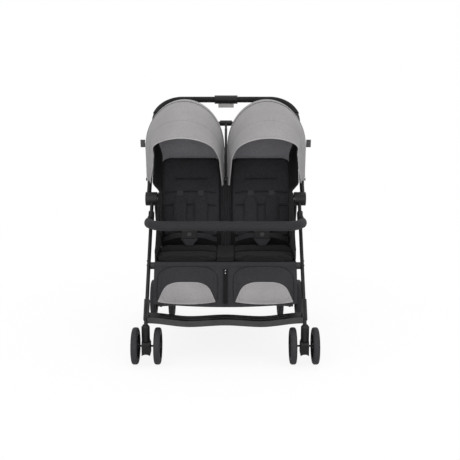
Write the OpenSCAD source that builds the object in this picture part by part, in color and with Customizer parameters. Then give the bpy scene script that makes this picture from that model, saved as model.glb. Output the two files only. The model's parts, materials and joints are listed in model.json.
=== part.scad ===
// Side by side double stroller: folding frame, paired wheels, two reclining seats and two hoods.
// Millimetres, +Z up, the front faces -Y, the origin lies on the floor under the middle of the box.

/* [Frame] */
// Height of the fold hubs above the floor
hub_z = 630; // [610:1:650]
// Inner face of the stacked hub discs, from the centre plane
hub_inner_x = 301; // [299:0.5:306]
// Thickness of one hub disc
hub_t = 15; // [14:0.5:16]
// Radius of a hub disc
hub_r = 30; // [26:1:33]
// Radius of the hub pin
hub_pin_r = 6; // [5:0.5:8]
// Angle of the push tubes above the horizontal
push_angle = 46; // [45:0.5:47]
// Distance from the hubs back to the middle of the handle
push_reach = 400; // [390:1:415]
// Radius of the push tube
push_tube_r = 10; // [9:0.5:10.5]
// Bend radius of the handle corners
handle_bend_r = 130; // [110:1:140]
// Radius of the handle grip
grip_r = 14; // [13:0.5:16]
// Depth of the flat leg tubes
leg_tube_d = 30; // [26:1:32]
// Width of the flat leg tubes
leg_tube_w = 14; // [12:0.5:14]

/* [Front wheels] */
// Radius of a front wheel
front_wheel_r = 76; // [72:1:80]
// Width of a front tyre
front_tyre_w = 26; // [24:1:28]
// Distance of the swivel axes in front of the hubs
caster_reach = 368; // [355:1:380]
// Distance of the axle behind the swivel axis
caster_trail = 24; // [20:1:28]
// Distance of a front wheel's middle from its swivel axis
front_wheel_offset = 46; // [44:1:50]
// Height of the lower end of the front leg
leg_foot_z = 158; // [154:1:164]

/* [Rear wheels] */
// Radius of a rear wheel
rear_wheel_r = 90; // [85:1:95]
// Width of a rear tyre
rear_tyre_w = 26; // [24:1:28]
// Distance of the rear axle behind the hubs
rear_reach = 265; // [255:1:280]
// Distance of a rear wheel's middle from its leg
rear_wheel_offset = 44; // [40:1:46]

/* [Seats] */
// Distance of a seat's middle from the centre plane
seat_x = 162; // [161:0.5:163]
// Width of a seat cushion
seat_w = 276; // [268:1:278]
// Depth of a seat cushion
seat_d = 284; // [276:1:285]
// Width of a seat back
back_w = 268; // [258:1:269]
// Length of a seat back above its hinge
back_len = 415; // [395:1:420]
// Lean of the seat back from the vertical
back_lean = 16; // [14:1:20]
// Height of the seat frame tubes
seat_frame_z = 387; // [380:1:395]
// Length of the calf panel below its hinge
calf_len = 165; // [150:1:168]
// Slant of the calf panel from the vertical
calf_slant = 26; // [24:1:30]

/* [Hoods] */
// Radius of the front hood panel about its pivot
hood_r = 350; // [345:1:354]
// Height of the curved part of the hood's cross-section
hood_crown = 205; // [190:1:215]
// Angle of the front rim above the rear horizontal
rim_angle = 143; // [140:1:144]
// Angle of the seam between the two hood panels
seam_angle = 98; // [92:1:104]
// Angle of the rear edge of the hood
hood_rear_angle = 51; // [50:0.5:54]
// Distance of the hood pivot from the hub along the push tube
hood_pivot_s = 106; // [100:1:112]

/* [Bumper bar] */
// Height of the bumper bar
bar_z = 552; // [545:1:560]
// Radius of the padded bar
bar_r = 21; // [17:0.5:22]
// Distance of the bar's front run before the hubs
bar_reach = 215; // [205:1:220]

/* [Hidden] */
$fn = 48;
overrun = 1;          // cuts run past the faces they cut
run_gap = 0.06;       // radial clearance of a running pin
seat_gap = 0.1;       // clearance of pieces that seat on each other
side_gap = 0.4;       // clearance between pieces that slide past each other
soft_gap = 0.3;       // clearance of a soft piece
fold_housing_r = 20;  // radius of the sleeve in the middle of the handle

// Hub stack, from the inside out: rear leg, front leg, push tube
rear_leg_x = hub_inner_x + hub_t / 2;
leg_x = rear_leg_x + hub_t + side_gap;
push_x = leg_x + hub_t + side_gap;
hub_outer_x = push_x + hub_t / 2;
push_len = push_reach / cos(push_angle);
handle_z = hub_z + push_reach * tan(push_angle);
push_neck_r = hub_t / 2 - side_gap;
hub_head_r = 10;
hub_head_t = 3;
hub_cover_t = 5;
hub_cover_rim = 2;

// The box of the whole stroller is centred fore and aft on the origin
front_end_y = -caster_reach + caster_trail - front_wheel_r;
rear_end_y = push_reach + fold_housing_r;
centre_shift = -(front_end_y + rear_end_y) / 2;

function leg_y(z) = -caster_reach * (hub_z - z) / (hub_z - leg_foot_z);
leg_tilt = atan2(caster_reach, hub_z - leg_foot_z);
hub_yz = [0, hub_z];
leg_foot_yz = [-caster_reach, leg_foot_z];
rear_axle_yz = [rear_reach, rear_wheel_r];

// Handle fittings
fold_housing_w = 110;
fold_lever_w = 74;
fold_lever_t = 12;
fold_lever_h = 30;
fold_lever_insert = 12;
fold_lever_travel = 6;
grip_bend_angle = 72;
cross_tube_r = 8;
cross_tube_s = push_len - handle_bend_r - 2 * cross_tube_r;
post_hub_w = 56;
post_hub_r = 13;
post_t = 10;
post_d = 16;
hood_pin_r = 4;
hood_pin_head_r = 8;
hood_pin_head_t = 2;

// Hood panels
hood_t = 2;
hood_step = hood_t + side_gap;
hood_outer_x = push_x + push_tube_r + side_gap + hood_t;
hood_inner_x = post_t / 2 + side_gap * 4 + hood_step;
hood_mid_x = (hood_outer_x + hood_inner_x) / 2;
hood_half_w = (hood_outer_x - hood_inner_x) / 2;
hood_tail_r = 14;
boss_proud = 0.1;
hood_wall_r = hood_r - hood_crown;
hood_lap = 3;
hood_arc_steps = 20;
hood_y = hood_pivot_s * cos(push_angle);
hood_z = hub_z + hood_pivot_s * sin(push_angle);

// Front casters
caster_y = -caster_reach;
caster_w = 34;
caster_top_z = 108;
caster_low_z = 44;
caster_front_d = 17;
caster_arch_r = 26;
caster_arch_share = 0.35;
stem_r = 6;
stem_clear = 18;
stem_top_z = leg_foot_z - stem_clear;
socket_r = 17;
socket_rise = 18;
socket_taper_share = 0.62;
socket_top_z = leg_foot_z + socket_rise;
front_axle_r = 4;
axle_head_r = 7;
axle_head_t = 2;
front_axle_y = caster_y + caster_trail;

// Wheel rims
rim_hub_r = 11;
rim_hub_w = 20;
rim_web_t = 6;
rim_wall = 6;
rim_windows = 6;
rim_window_share = 0.62;
tyre_share = 0.25;
tyre_tread_r = 9;

// Rear axle and brake
rear_axle_r = 6;
rear_axle_tube_r = 9;
rear_bracket_r = 18;
brake_dy = 34;
brake_dz = 27;
brake_rod_r = 5;
brake_lug_x = 205;
brake_lug_w = 12;
brake_half_w = 236;
brake_dog_l = 24;
pedal_w = 92;
pedal_l = 52;
pedal_arm_l = 52;
pedal_t = 8;

// Footrest bar
footrest_front = 16;
footrest_d = 66;
footrest_h = 25;
footrest_lift = 5;
footrest_z = leg_foot_z + footrest_lift;
footrest_mid_rise = 7;
footrest_end_rise = 16;
footrest_wave_share = 0.46;
footrest_steps = 48;
sleeve_wall = 4;
sleeve_h = 68;
sleeve_low_z = socket_top_z + (leg_tube_d / 2 + sleeve_wall) * sin(leg_tilt) + side_gap;
sleeve_top_z = sleeve_low_z + sleeve_h;
footrest_rib_gap = 22;
footrest_rib_h = 2;
footrest_rib_w = 3;
footrest_rib_run_share = 0.82;

// Seat frame
frame_tube_r = 8;
frame_bend_r = 20;
middle_rail_r = 7;
rail_clear = 1;
rail_x = rear_leg_x - hub_t / 2 - frame_tube_r - rail_clear;
seat_front_clear = 25.5;
seat_front_y = leg_y(seat_frame_z) - seat_front_clear;
seat_rear_y = 82;
bracket_w = 28;
bracket_h = 30;
bracket_drop = 11;
rivet_r = 4;
rivet_h = 2;
board_t = 4.5;
board_front_inset = 15;
board_rear_inset = 16;
lug_wall = 4;
lug_r = frame_tube_r + lug_wall;
lug_w = 28;
lug_arm_w = 22;
lug_spread = 70;
lug_arm = 64;
seat_pad_z = seat_frame_z + frame_tube_r + board_t + seat_gap;
seat_pad_front = 13;

// Seat cushions: edge height, crown and sewn channels
seat_edge = 8;
seat_crown = 13;
seat_round_share = 0.35;
seat_channels_shares = [0.5];
seat_channel_depth = 5;
back_board_t = 5;
back_corner_r = 60;
back_pad_start = 48;
back_edge = 9;
back_crown = 13;
back_round_share = 0.5;
back_channels_shares = [0.395, 0.56, 0.725];
back_channel_depth = 6;
calf_board_t = 5;
calf_half_w = 299;
calf_pad_w = 268;
calf_pad_start = 20;
calf_edge = 5;
calf_crown = 9;
calf_round_share = 0.3;
calf_hem_drop = 14;
pad_columns = 12;
pad_rows = 20;
channel_half_share = 0.05;
waist_w_share = 0.02;
waist_l_share = 0.015;
corner_power = 6;
crown_power = 4;
strip_w = 18;
strip_t = 7;
strip_clear = 15;
calf_pad_x = strip_w / 2 + strip_clear + calf_pad_w / 2;
calf_clip_w = 22;
calf_clip_h = 16;
calf_clip_x = 268;

// Harness
shoulder_pad_w = 60;
shoulder_pad_l = 150;
shoulder_pad_t = 9;
shoulder_pad_x = 48;
shoulder_pad_low = 45;
shoulder_pad_round_share = 0.6;
strap_w = 36;
strap_top_w = 84;
strap_t = 7;
strap_l = 36;
strap_y = -28;
strap_lean = 35;
buckle_w = 66;
buckle_h = 34;
buckle_t = 17;
buckle_round = 7;
button_r = 10;
button_t = 5;
button_travel = 2.5;

// Bumper bar ends
plug_r = 9;
plug_reach = 41;
plug_l = 30;
plug_y = leg_y(bar_z) - plug_reach;
bar_start_y = plug_y - plug_l;
bar_straight = 5;
bar_bend_r = floor(bar_reach + bar_start_y - bar_straight);
fork_w = 24;
fork_t = 5;
fork_lead = 22;
fork_front_y = plug_y - fork_lead;
fork_half = plug_r + side_gap;
receiver_wall = 5;
receiver_half_h = 24;
bar_pin_r = 4;
bar_pin_inset = 10;
bar_pin_y = plug_y - bar_pin_inset;
release_r = 5;
release_h = 8;
release_travel = 2;

// Basket
basket_wall = 3;
basket_half_w = rail_x + basket_wall / 2;
basket_front_y = -160;
basket_rear_y = 168;
basket_low_z = 172;
basket_rim_front_z = 316;
basket_rim_rear_z = 268;
basket_floor_r = 46;
basket_strap_w = 26;
basket_strap_ys = [-118, 40];

// Pleated gusset between the two seat backs
gusset_half_w = 22;
gusset_t = 2.5;
gusset_folds = 4;
gusset_depth = 9;
gusset_len = 262;

frame_black = [0.09, 0.09, 0.10];
plastic_black = [0.12, 0.12, 0.13];
plastic_grey = [0.30, 0.30, 0.31];
lever_grey = [0.62, 0.62, 0.62];
hood_grey = [0.62, 0.61, 0.61];
seat_black = [0.10, 0.10, 0.11];
calf_charcoal = [0.20, 0.20, 0.21];
tyre_grey = [0.22, 0.22, 0.23];
steel = [0.6, 0.6, 0.62];

// Shared shapes

// Centres the stroller's box over the origin
module placed() { translate([0, centre_shift, 0]) children(); }

module mirrored(side) {
    if (side > 0) children();
    else mirror([1, 0, 0]) children();
}

module both_sides() {
    for (side = [-1, 1]) mirrored(side) children();
}

// Turns a drawing of (y, z) into a plate that grows along +X from x
module side_plate(x, w) {
    translate([x, 0, 0]) rotate([90, 0, 90]) linear_extrude(w) children();
}

// Cylinder along +X from x, about the point yz
module cross_rod(x, yz, len, r) {
    translate([x, yz[0], yz[1]]) rotate([0, 90, 0]) cylinder(h = len, r = r);
}

module cross_bar(yz, half_len, r) { cross_rod(-half_len, yz, 2 * half_len, r); }

module rounded_face(w, h, r) {
    for (sx = [-1, 1], sy = [-1, 1])
        translate([sx * (w / 2 - r), sy * (h / 2 - r)]) circle(r = r);
    square([w - 2 * r, h], center = true);
    square([w, h - 2 * r], center = true);
}

module stadium(w, d) {
    for (end = [-1, 1]) translate([0, end * (d - w) / 2]) circle(d = w);
    square([w, d - w], center = true);
}

// Flat oval tube in the side plane x, from a to b, both (y, z)
module flat_tube(x, a, b, w, d) {
    translate([x, a[0], a[1]])
        rotate([atan2(a[0] - b[0], b[1] - a[1]), 0, 0])
            linear_extrude(norm(b - a)) stadium(w, d);
}

module leg_stretch(z_high, z_low, grow) {
    flat_tube(leg_x, [leg_y(z_high), z_high], [leg_y(z_low), z_low],
        leg_tube_w + 2 * grow, leg_tube_d + 2 * grow);
}

// Frame of the push tubes: +Y runs from the hubs to the handle
module along_push() { translate([0, 0, hub_z]) rotate([push_angle, 0, 0]) children(); }

module push_stretch(s_low, s_high, r) {
    translate([push_x, s_low, 0]) rotate([-90, 0, 0]) cylinder(h = s_high - s_low, r = r);
}

module push_bend(r, angle) {
    translate([push_x - handle_bend_r, push_len - handle_bend_r, 0])
        rotate([0, 0, 90 - angle]) rotate_extrude(angle = angle)
            translate([handle_bend_r, 0]) circle(r = r);
}

module push_top(r, x_from) {
    translate([x_from, push_len, 0]) rotate([0, 90, 0])
        cylinder(h = push_x - handle_bend_r - x_from, r = r);
}

module hub_bore() {
    cross_rod(hub_inner_x - overrun, hub_yz, hub_outer_x - hub_inner_x + 2 * overrun,
        hub_pin_r + run_gap);
}

// Crowned cushion over a rounded outline, with sewn channels across its length.
// It lies in the XY plane with its flat face down; v runs along its length.
function channel(v, shares, depth) = len(shares) == 0 ? 0 : depth * max([
    for (share = shares) max(0, 1 - pow((v - share) / channel_half_share, 2))]);
function fullness(u) = 1 - pow(abs(2 * u - 1), crown_power);
function outline(u, v, w, l, round_share) = [
    w * (u - 1 / 2) * sqrt(1 - round_share * pow(2 * v - 1, corner_power) / 2)
        * (1 - waist_w_share * fullness(v)),
    l * (v - 1 / 2) * sqrt(1 - round_share * pow(2 * u - 1, corner_power) / 2)
        * (1 - waist_l_share * fullness(u))];
function height(u, v, edge, crown, shares, depth) =
    edge + max(0, fullness(u) * fullness(v) * crown
        - channel(v, shares, depth) * fullness(u));

module cushion(w, l, edge, crown, round_share, shares, depth) {
    columns = pad_columns;
    rows = pad_rows;
    row_len = columns + 1;
    count = row_len * (rows + 1);
    top = [for (j = [0:rows], i = [0:columns])
        let (u = i / columns, v = j / rows, p = outline(u, v, w, l, round_share))
        [p[0], p[1], height(u, v, edge, crown, shares, depth)]];
    ring = concat([for (i = [0:columns - 1]) i],
        [for (j = [0:rows - 1]) j * row_len + columns],
        [for (i = [columns:-1:1]) rows * row_len + i],
        [for (j = [rows:-1:1]) j * row_len]);
    base = [for (k = ring) [top[k][0], top[k][1], 0]];
    ring_len = len(ring);
    faces = concat(
        [for (j = [0:rows - 1], i = [0:columns - 1])
            let (a = j * row_len + i) [a, a + row_len, a + row_len + 1]],
        [for (j = [0:rows - 1], i = [0:columns - 1])
            let (a = j * row_len + i) [a, a + row_len + 1, a + 1]],
        [for (k = [0:ring_len - 1])
            let (n = (k + 1) % ring_len) [ring[k], ring[n], count + n]],
        [for (k = [0:ring_len - 1])
            let (n = (k + 1) % ring_len) [ring[k], count + n, count + k]],
        [[for (k = [0:ring_len - 1]) count + k]]);
    polyhedron(points = concat(top, base), faces = faces);
}

// Frame, from the hubs down

module front_leg(side) {
    color(frame_black) mirrored(side) difference() {
        union() {
            cross_rod(leg_x - hub_t / 2, hub_yz, hub_t, hub_r);
            leg_stretch(hub_z, leg_foot_z, 0);
        }
        hub_bore();
    }
}

module rear_leg(side) {
    color(frame_black) mirrored(side) difference() {
        union() {
            cross_rod(rear_leg_x - hub_t / 2, hub_yz, hub_t, hub_r);
            flat_tube(rear_leg_x, hub_yz, rear_axle_yz, leg_tube_w, leg_tube_d);
            cross_rod(rear_leg_x - hub_t / 2, rear_axle_yz, hub_t, rear_bracket_r);
        }
        hub_bore();
        cross_rod(rear_leg_x - hub_t, rear_axle_yz, 2 * hub_t, rear_axle_r + seat_gap);
    }
}

module push_handle() {
    color(frame_black) difference() {
        union() {
            both_sides() {
                cross_rod(push_x - hub_t / 2, hub_yz, hub_t, hub_r);
                along_push() {
                    push_stretch(0, hub_r + overrun, push_neck_r);
                    push_stretch(hub_r + overrun, push_len - handle_bend_r, push_tube_r);
                    push_bend(push_tube_r, 90);
                    push_top(push_tube_r, 0);
                }
            }
        }
        both_sides() {
            hub_bore();
            cross_rod(push_x - push_tube_r - overrun, [hood_y, hood_z],
                2 * (push_tube_r + overrun), hood_pin_r + seat_gap);
        }
    }
}

module handle_grips() {
    color(plastic_black) both_sides() along_push() difference() {
        union() {
            push_bend(grip_r, grip_bend_angle);
            push_top(grip_r, fold_housing_w / 2 + side_gap);
        }
        push_bend(push_tube_r + seat_gap, 90);
        push_top(push_tube_r + seat_gap, 0);
    }
}

module fold_lever_shape(top_z, grow) {
    low_z = handle_z - fold_housing_r - fold_lever_h + fold_lever_insert;
    translate([0, push_reach, low_z]) linear_extrude(top_z - low_z)
        rotate(90) stadium(fold_lever_t + 2 * grow, fold_lever_w + 2 * grow);
}

module fold_housing() {
    color(plastic_black) difference() {
        cross_bar([push_reach, handle_z], fold_housing_w / 2, fold_housing_r);
        cross_bar([push_reach, handle_z], fold_housing_w, push_tube_r + seat_gap);
        fold_lever_shape(handle_z, side_gap);
    }
}

module fold_lever() {
    color(lever_grey) difference() {
        fold_lever_shape(handle_z - fold_housing_r + fold_lever_insert, 0);
        cross_bar([push_reach, handle_z], fold_housing_w,
            push_tube_r + fold_lever_travel + side_gap);
    }
}

// Cross tube behind the hoods, with the post that carries their inner pivots
module hood_post() {
    color(frame_black) along_push() difference() {
        union() {
            translate([-push_x, cross_tube_s, 0]) rotate([0, 90, 0])
                cylinder(h = 2 * push_x, r = cross_tube_r);
            translate([-post_hub_w / 2, cross_tube_s, 0]) rotate([0, 90, 0])
                cylinder(h = post_hub_w, r = post_hub_r);
            translate([-post_t / 2, hood_pivot_s, -post_d / 2])
                cube([post_t, cross_tube_s - hood_pivot_s, post_d]);
            translate([-post_t / 2, hood_pivot_s, 0]) rotate([0, 90, 0])
                cylinder(h = post_t, r = hood_tail_r);
            translate([-hood_inner_x - hood_step, hood_pivot_s, 0]) rotate([0, 90, 0])
                cylinder(h = 2 * (hood_inner_x + hood_step), r = hood_pin_r);
        }
        both_sides() push_stretch(hub_r, push_len - handle_bend_r, push_tube_r + seat_gap);
    }
}

module hub_pins() {
    color(steel) both_sides() {
        cross_rod(hub_inner_x - seat_gap, hub_yz,
            hub_outer_x - hub_inner_x + 2 * seat_gap, hub_pin_r);
        cross_rod(hub_inner_x - seat_gap - hub_head_t, hub_yz, hub_head_t, hub_head_r);
        cross_rod(hub_outer_x + seat_gap, hub_yz, hub_head_t, hub_head_r);
    }
}

// Shallow domed covers over the outer hub discs
module hub_covers() {
    color(plastic_black) both_sides()
        translate([hub_outer_x + seat_gap, 0, hub_z]) rotate([90, 0, 90]) rotate_extrude()
            difference() {
                union() {
                    square([hub_r - hub_cover_rim, hub_cover_t]);
                    square([hub_r, hub_cover_t - hub_cover_rim]);
                    translate([hub_r - hub_cover_rim, hub_cover_t - hub_cover_rim])
                        circle(r = hub_cover_rim);
                }
                square([hub_head_r + side_gap, hub_head_t + side_gap]);
            }
}

// Hoods

module hood_pins() {
    color(steel) both_sides() {
        cross_rod(push_x - push_tube_r, [hood_y, hood_z],
            hood_outer_x + hood_step + side_gap - push_x + push_tube_r, hood_pin_r);
        cross_rod(hood_outer_x + hood_step + side_gap, [hood_y, hood_z],
            hood_pin_head_t, hood_pin_head_r);
    }
}

// Cross-section of a hood as (radius, x): an arch on two straight walls
function hood_arch(inset) = concat(
    [[hood_tail_r / 2, hood_mid_x + hood_half_w - inset]],
    [for (i = [0:hood_arc_steps])
        let (t = 180 * i / hood_arc_steps)
        [hood_wall_r + (hood_crown - inset) * sin(t),
            hood_mid_x + (hood_half_w - inset) * cos(t)]],
    [[hood_tail_r / 2, hood_mid_x - hood_half_w + inset]]);
function reversed(list) = [for (i = [len(list) - 1:-1:0]) list[i]];

module hood_shell(inset, angle_from, angle_to) {
    translate([0, hood_y, hood_z]) rotate([90, 0, 90]) difference() {
        union() {
            rotate([0, 0, angle_from]) rotate_extrude(angle = angle_to - angle_from, $fn = 96)
                polygon(concat(hood_arch(inset), reversed(hood_arch(inset + hood_t))));
            for (x = [hood_mid_x - hood_half_w + inset, hood_mid_x + hood_half_w - inset - hood_t])
                translate([0, 0, x - boss_proud])
                    cylinder(h = hood_t + 2 * boss_proud, r = hood_tail_r);
        }
        translate([0, 0, -overrun])
            cylinder(h = hood_outer_x + 2 * hood_step + overrun, r = hood_pin_r + run_gap);
    }
}

module hood_rear(side) {
    color(hood_grey) mirrored(side) hood_shell(-hood_step, hood_rear_angle, seam_angle);
}

module hood_front(side) {
    color(hood_grey) mirrored(side) hood_shell(0, seam_angle - hood_lap, rim_angle);
}

// Front crossbar with its leg sleeves

function smooth(t) = t * t * (3 - 2 * t);
function footrest_curve(share) =
    footrest_mid_rise * smooth(max(0, 1 - abs(share) / footrest_wave_share))
    + footrest_end_rise * smooth(max(0, (abs(share) - footrest_wave_share)
        / (1 - footrest_wave_share)));

module footrest_profile(low, high) {
    half = leg_x - leg_tube_w / 2;
    polygon(concat(
        [for (i = [0:footrest_steps]) let (share = 2 * i / footrest_steps - 1)
            [half * share, footrest_z + low + footrest_curve(share)]],
        [for (i = [footrest_steps:-1:0]) let (share = 2 * i / footrest_steps - 1)
            [half * share, footrest_z + high + footrest_curve(share)]]));
}

module footrest_bar() {
    footrest_y = leg_y(footrest_z + footrest_h) - footrest_front;
    half = leg_x - leg_tube_w / 2;
    color(plastic_grey) difference() {
        union() {
            translate([0, footrest_y + footrest_d, 0]) rotate([90, 0, 0])
                linear_extrude(footrest_d) footrest_profile(0, footrest_h);
            for (y = [footrest_rib_gap:footrest_rib_gap:footrest_d - footrest_rib_w])
                intersection() {
                    translate([0, footrest_y + y + footrest_rib_w, 0]) rotate([90, 0, 0])
                        linear_extrude(footrest_rib_w)
                            footrest_profile(footrest_h / 2, footrest_h + footrest_rib_h);
                    translate([-half * footrest_rib_run_share, footrest_y, 0])
                        cube([2 * half * footrest_rib_run_share, footrest_d, hub_z]);
                }
            both_sides() leg_stretch(sleeve_top_z, sleeve_low_z, sleeve_wall);
        }
        both_sides() leg_stretch(hub_z, leg_foot_z, seat_gap);
    }
}

module caster_sockets() {
    color(plastic_black) both_sides() difference() {
        union() {
            translate([leg_x, caster_y, caster_top_z + side_gap])
                cylinder(h = socket_top_z - caster_top_z - side_gap - socket_r / 2, r = socket_r);
            translate([leg_x, caster_y, socket_top_z - socket_r / 2])
                cylinder(h = socket_r / 2, r1 = socket_r, r2 = socket_r * socket_taper_share);
        }
        leg_stretch(hub_z, leg_foot_z, seat_gap);
        translate([leg_x, caster_y, caster_top_z])
            cylinder(h = stem_top_z - caster_top_z + side_gap, r = stem_r + run_gap);
    }
}

// Caster: swivel stem, housing with an arched lower edge, and the axle
module caster(side) {
    axle_half = front_wheel_offset + rim_hub_w / 2 + side_gap;
    color(plastic_black) mirrored(side) {
        difference() {
            union() {
                side_plate(leg_x - caster_w / 2, caster_w) {
                    translate([caster_y, caster_top_z - caster_front_d]) circle(r = caster_front_d);
                    translate([caster_y - caster_front_d, caster_low_z])
                        square([caster_front_d * 2, caster_top_z - caster_front_d - caster_low_z]);
                    translate([caster_y, caster_low_z])
                        square([caster_trail + caster_front_d,
                            front_wheel_r + caster_front_d - caster_low_z]);
                    translate([caster_y, caster_top_z - caster_front_d])
                        square([caster_front_d, caster_front_d]);
                }
                translate([leg_x, caster_y, caster_top_z - caster_front_d])
                    cylinder(h = stem_top_z - caster_top_z + caster_front_d, r = stem_r);
            }
            translate([leg_x, caster_y - caster_reach, caster_low_z - caster_arch_r
                + caster_arch_r * caster_arch_share])
                rotate([-90, 0, 0]) cylinder(h = 2 * caster_reach, r = caster_arch_r);
        }
        cross_rod(leg_x - axle_half, [front_axle_y, front_wheel_r], 2 * axle_half, front_axle_r);
        for (end = [-axle_half - axle_head_t, axle_half])
            cross_rod(leg_x + end, [front_axle_y, front_wheel_r], axle_head_t, axle_head_r);
    }
}

// Wheels, drawn about their own axle along +X

function rim_r(r) = r * (1 - tyre_share);

module at_wheel(x, yz) { translate([x, yz[0], yz[1]]) rotate([90, 0, 90]) children(); }

module tyre(x, yz, r, w) {
    inner = rim_r(r) + seat_gap;
    color(tyre_grey) at_wheel(x, yz) rotate_extrude($fn = 96) {
        translate([inner, -w / 2]) square([r - inner - tyre_tread_r, w]);
        translate([r - tyre_tread_r, -w / 2 + tyre_tread_r])
            square([tyre_tread_r, w - 2 * tyre_tread_r]);
        for (edge = [-1, 1])
            translate([r - tyre_tread_r, edge * (w / 2 - tyre_tread_r)])
                circle(r = tyre_tread_r);
    }
}

module rim(x, yz, r, w, bore_r) {
    outer = rim_r(r);
    web = outer - rim_wall;
    window_r = (web - rim_hub_r) / 2 * rim_window_share;
    color(plastic_black) at_wheel(x, yz) difference() {
        rotate_extrude($fn = 96) {
            translate([bore_r + run_gap, -rim_hub_w / 2])
                square([rim_hub_r - bore_r - run_gap, rim_hub_w]);
            translate([rim_hub_r - overrun, -rim_web_t / 2])
                square([web - rim_hub_r + 2 * overrun, rim_web_t]);
            translate([web, -w / 2 + overrun]) square([rim_wall, w - 2 * overrun]);
        }
        for (i = [0:rim_windows - 1])
            rotate(i * 360 / rim_windows)
                translate([(web + rim_hub_r) / 2, 0, -rim_web_t])
                    cylinder(h = 2 * rim_web_t, r = window_r);
    }
}

front_axle_yz = [front_axle_y, front_wheel_r];

module front_tyre(side, step) {
    tyre(side * (leg_x + step * front_wheel_offset), front_axle_yz, front_wheel_r, front_tyre_w);
}

module front_rim(side, step) {
    rim(side * (leg_x + step * front_wheel_offset), front_axle_yz, front_wheel_r, front_tyre_w,
        front_axle_r);
}

module rear_tyre(side, step) {
    tyre(side * (rear_leg_x + step * rear_wheel_offset), rear_axle_yz, rear_wheel_r, rear_tyre_w);
}

module rear_rim(side, step) {
    rim(side * (rear_leg_x + step * rear_wheel_offset), rear_axle_yz, rear_wheel_r, rear_tyre_w,
        rear_axle_r);
}

// Rear axle in its tube, with the lugs of the brake rod

brake_yz = [rear_reach - brake_dy, rear_wheel_r + brake_dz];

module rear_axle() {
    axle_half = rear_leg_x + rear_wheel_offset + rim_hub_w / 2 + side_gap;
    tube_half = rear_leg_x - rear_wheel_offset - rim_hub_w / 2 - side_gap;
    color(frame_black) difference() {
        union() {
            cross_bar(rear_axle_yz, axle_half, rear_axle_r);
            cross_bar(rear_axle_yz, axle_half + axle_head_t, rear_axle_r / 2);
            both_sides() cross_rod(axle_half, rear_axle_yz, axle_head_t, rear_axle_tube_r);
            cross_bar(rear_axle_yz, tube_half, rear_axle_tube_r);
            both_sides() {
                flat_tube(brake_lug_x, rear_axle_yz, brake_yz, brake_lug_w, rear_axle_tube_r * 2);
                cross_rod(brake_lug_x - brake_lug_w / 2, brake_yz, brake_lug_w, rear_axle_tube_r);
            }
        }
        both_sides() cross_rod(brake_lug_x - brake_lug_w, brake_yz, 2 * brake_lug_w,
            brake_rod_r + run_gap);
    }
}

module brake_pedal() {
    color(plastic_grey) {
        cross_bar(brake_yz, brake_half_w, brake_rod_r);
        both_sides() side_plate(brake_half_w - brake_lug_w, brake_lug_w)
            translate(brake_yz) rotate(90) translate([brake_dog_l / 2, 0])
                rotate(90) stadium(brake_rod_r * 2, brake_dog_l + brake_rod_r * 2);
        side_plate(-pedal_w / 2, pedal_w) translate([brake_yz[0] + pedal_arm_l, brake_yz[1]]) {
            translate([-pedal_arm_l, -pedal_t / 2]) square([pedal_arm_l + pedal_l, pedal_t]);
            translate([pedal_l, 0]) circle(d = pedal_t);
        }
    }
}

// Seats

module seat_frame() {
    across = rail_x - frame_bend_r;
    color(frame_black) translate([0, 0, seat_frame_z]) {
        for (y = [seat_front_y, seat_rear_y])
            translate([-across, y, 0]) rotate([0, 90, 0]) cylinder(h = 2 * across, r = frame_tube_r);
        both_sides() {
            translate([rail_x, seat_front_y + frame_bend_r, 0]) rotate([-90, 0, 0])
                cylinder(h = seat_rear_y - seat_front_y - 2 * frame_bend_r, r = frame_tube_r);
            translate([across, seat_front_y + frame_bend_r, 0]) rotate([0, 0, -90])
                rotate_extrude(angle = 90) translate([frame_bend_r, 0]) circle(r = frame_tube_r);
            translate([across, seat_rear_y - frame_bend_r, 0])
                rotate_extrude(angle = 90) translate([frame_bend_r, 0]) circle(r = frame_tube_r);
        }
        translate([0, seat_front_y, frame_tube_r - middle_rail_r]) rotate([-90, 0, 0])
            cylinder(h = seat_rear_y - seat_front_y, r = middle_rail_r);
    }
}

// Brackets that hang the seat rails on the front legs
module seat_brackets() {
    inner = rail_x;
    outer = leg_x - leg_tube_w / 2 - seat_gap;
    y = leg_y(seat_frame_z);
    color(plastic_grey) both_sides() {
        difference() {
            side_plate(inner, outer - inner) translate([y, seat_frame_z - bracket_drop])
                stadium(bracket_w, bracket_h);
            translate([rail_x, seat_front_y, seat_frame_z]) rotate([-90, 0, 0])
                cylinder(h = seat_rear_y - seat_front_y, r = frame_tube_r + seat_gap);
        }
        for (z = [-1, 1]) cross_rod(leg_x + leg_tube_w / 2 + seat_gap,
            [leg_y(seat_frame_z + z * rivet_r * 2), seat_frame_z + z * rivet_r * 2],
            rivet_h, rivet_r);
    }
}

module seat_boards() {
    front = seat_front_y + board_front_inset;
    rear = seat_rear_y - board_rear_inset;
    outer = rail_x - side_gap;
    color(plastic_black) both_sides()
        translate([side_gap, front, seat_frame_z + frame_tube_r])
            cube([outer - side_gap, rear - front, board_t]);
}

module seat_pad(side) {
    color(seat_black) mirrored(side)
        translate([seat_x, seat_front_y - seat_pad_front + seat_d / 2, seat_pad_z])
            cushion(seat_w, seat_d, seat_edge, seat_crown, seat_round_share,
                seat_channels_shares, seat_channel_depth);
}

// Plane of a panel that hinges about X at yz: +Y runs along the panel, +Z is its front face
module on_panel(yz, tilt) { translate([0, yz[0], yz[1]]) rotate([tilt, 0, 0]) children(); }

module hinge_lugs(yz, middle) {
    for (end = [-1, 1]) cross_rod(middle + end * lug_spread - lug_w / 2, yz, lug_w, lug_r);
}

back_hinge = [seat_rear_y, seat_frame_z];
calf_hinge = [seat_front_y, seat_frame_z];
back_tilt = 90 - back_lean;
calf_tilt = -90 - calf_slant;

module on_back() { on_panel(back_hinge, back_tilt) children(); }

module on_calf() { on_panel(calf_hinge, calf_tilt) rotate([0, 180, 0]) children(); }

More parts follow.
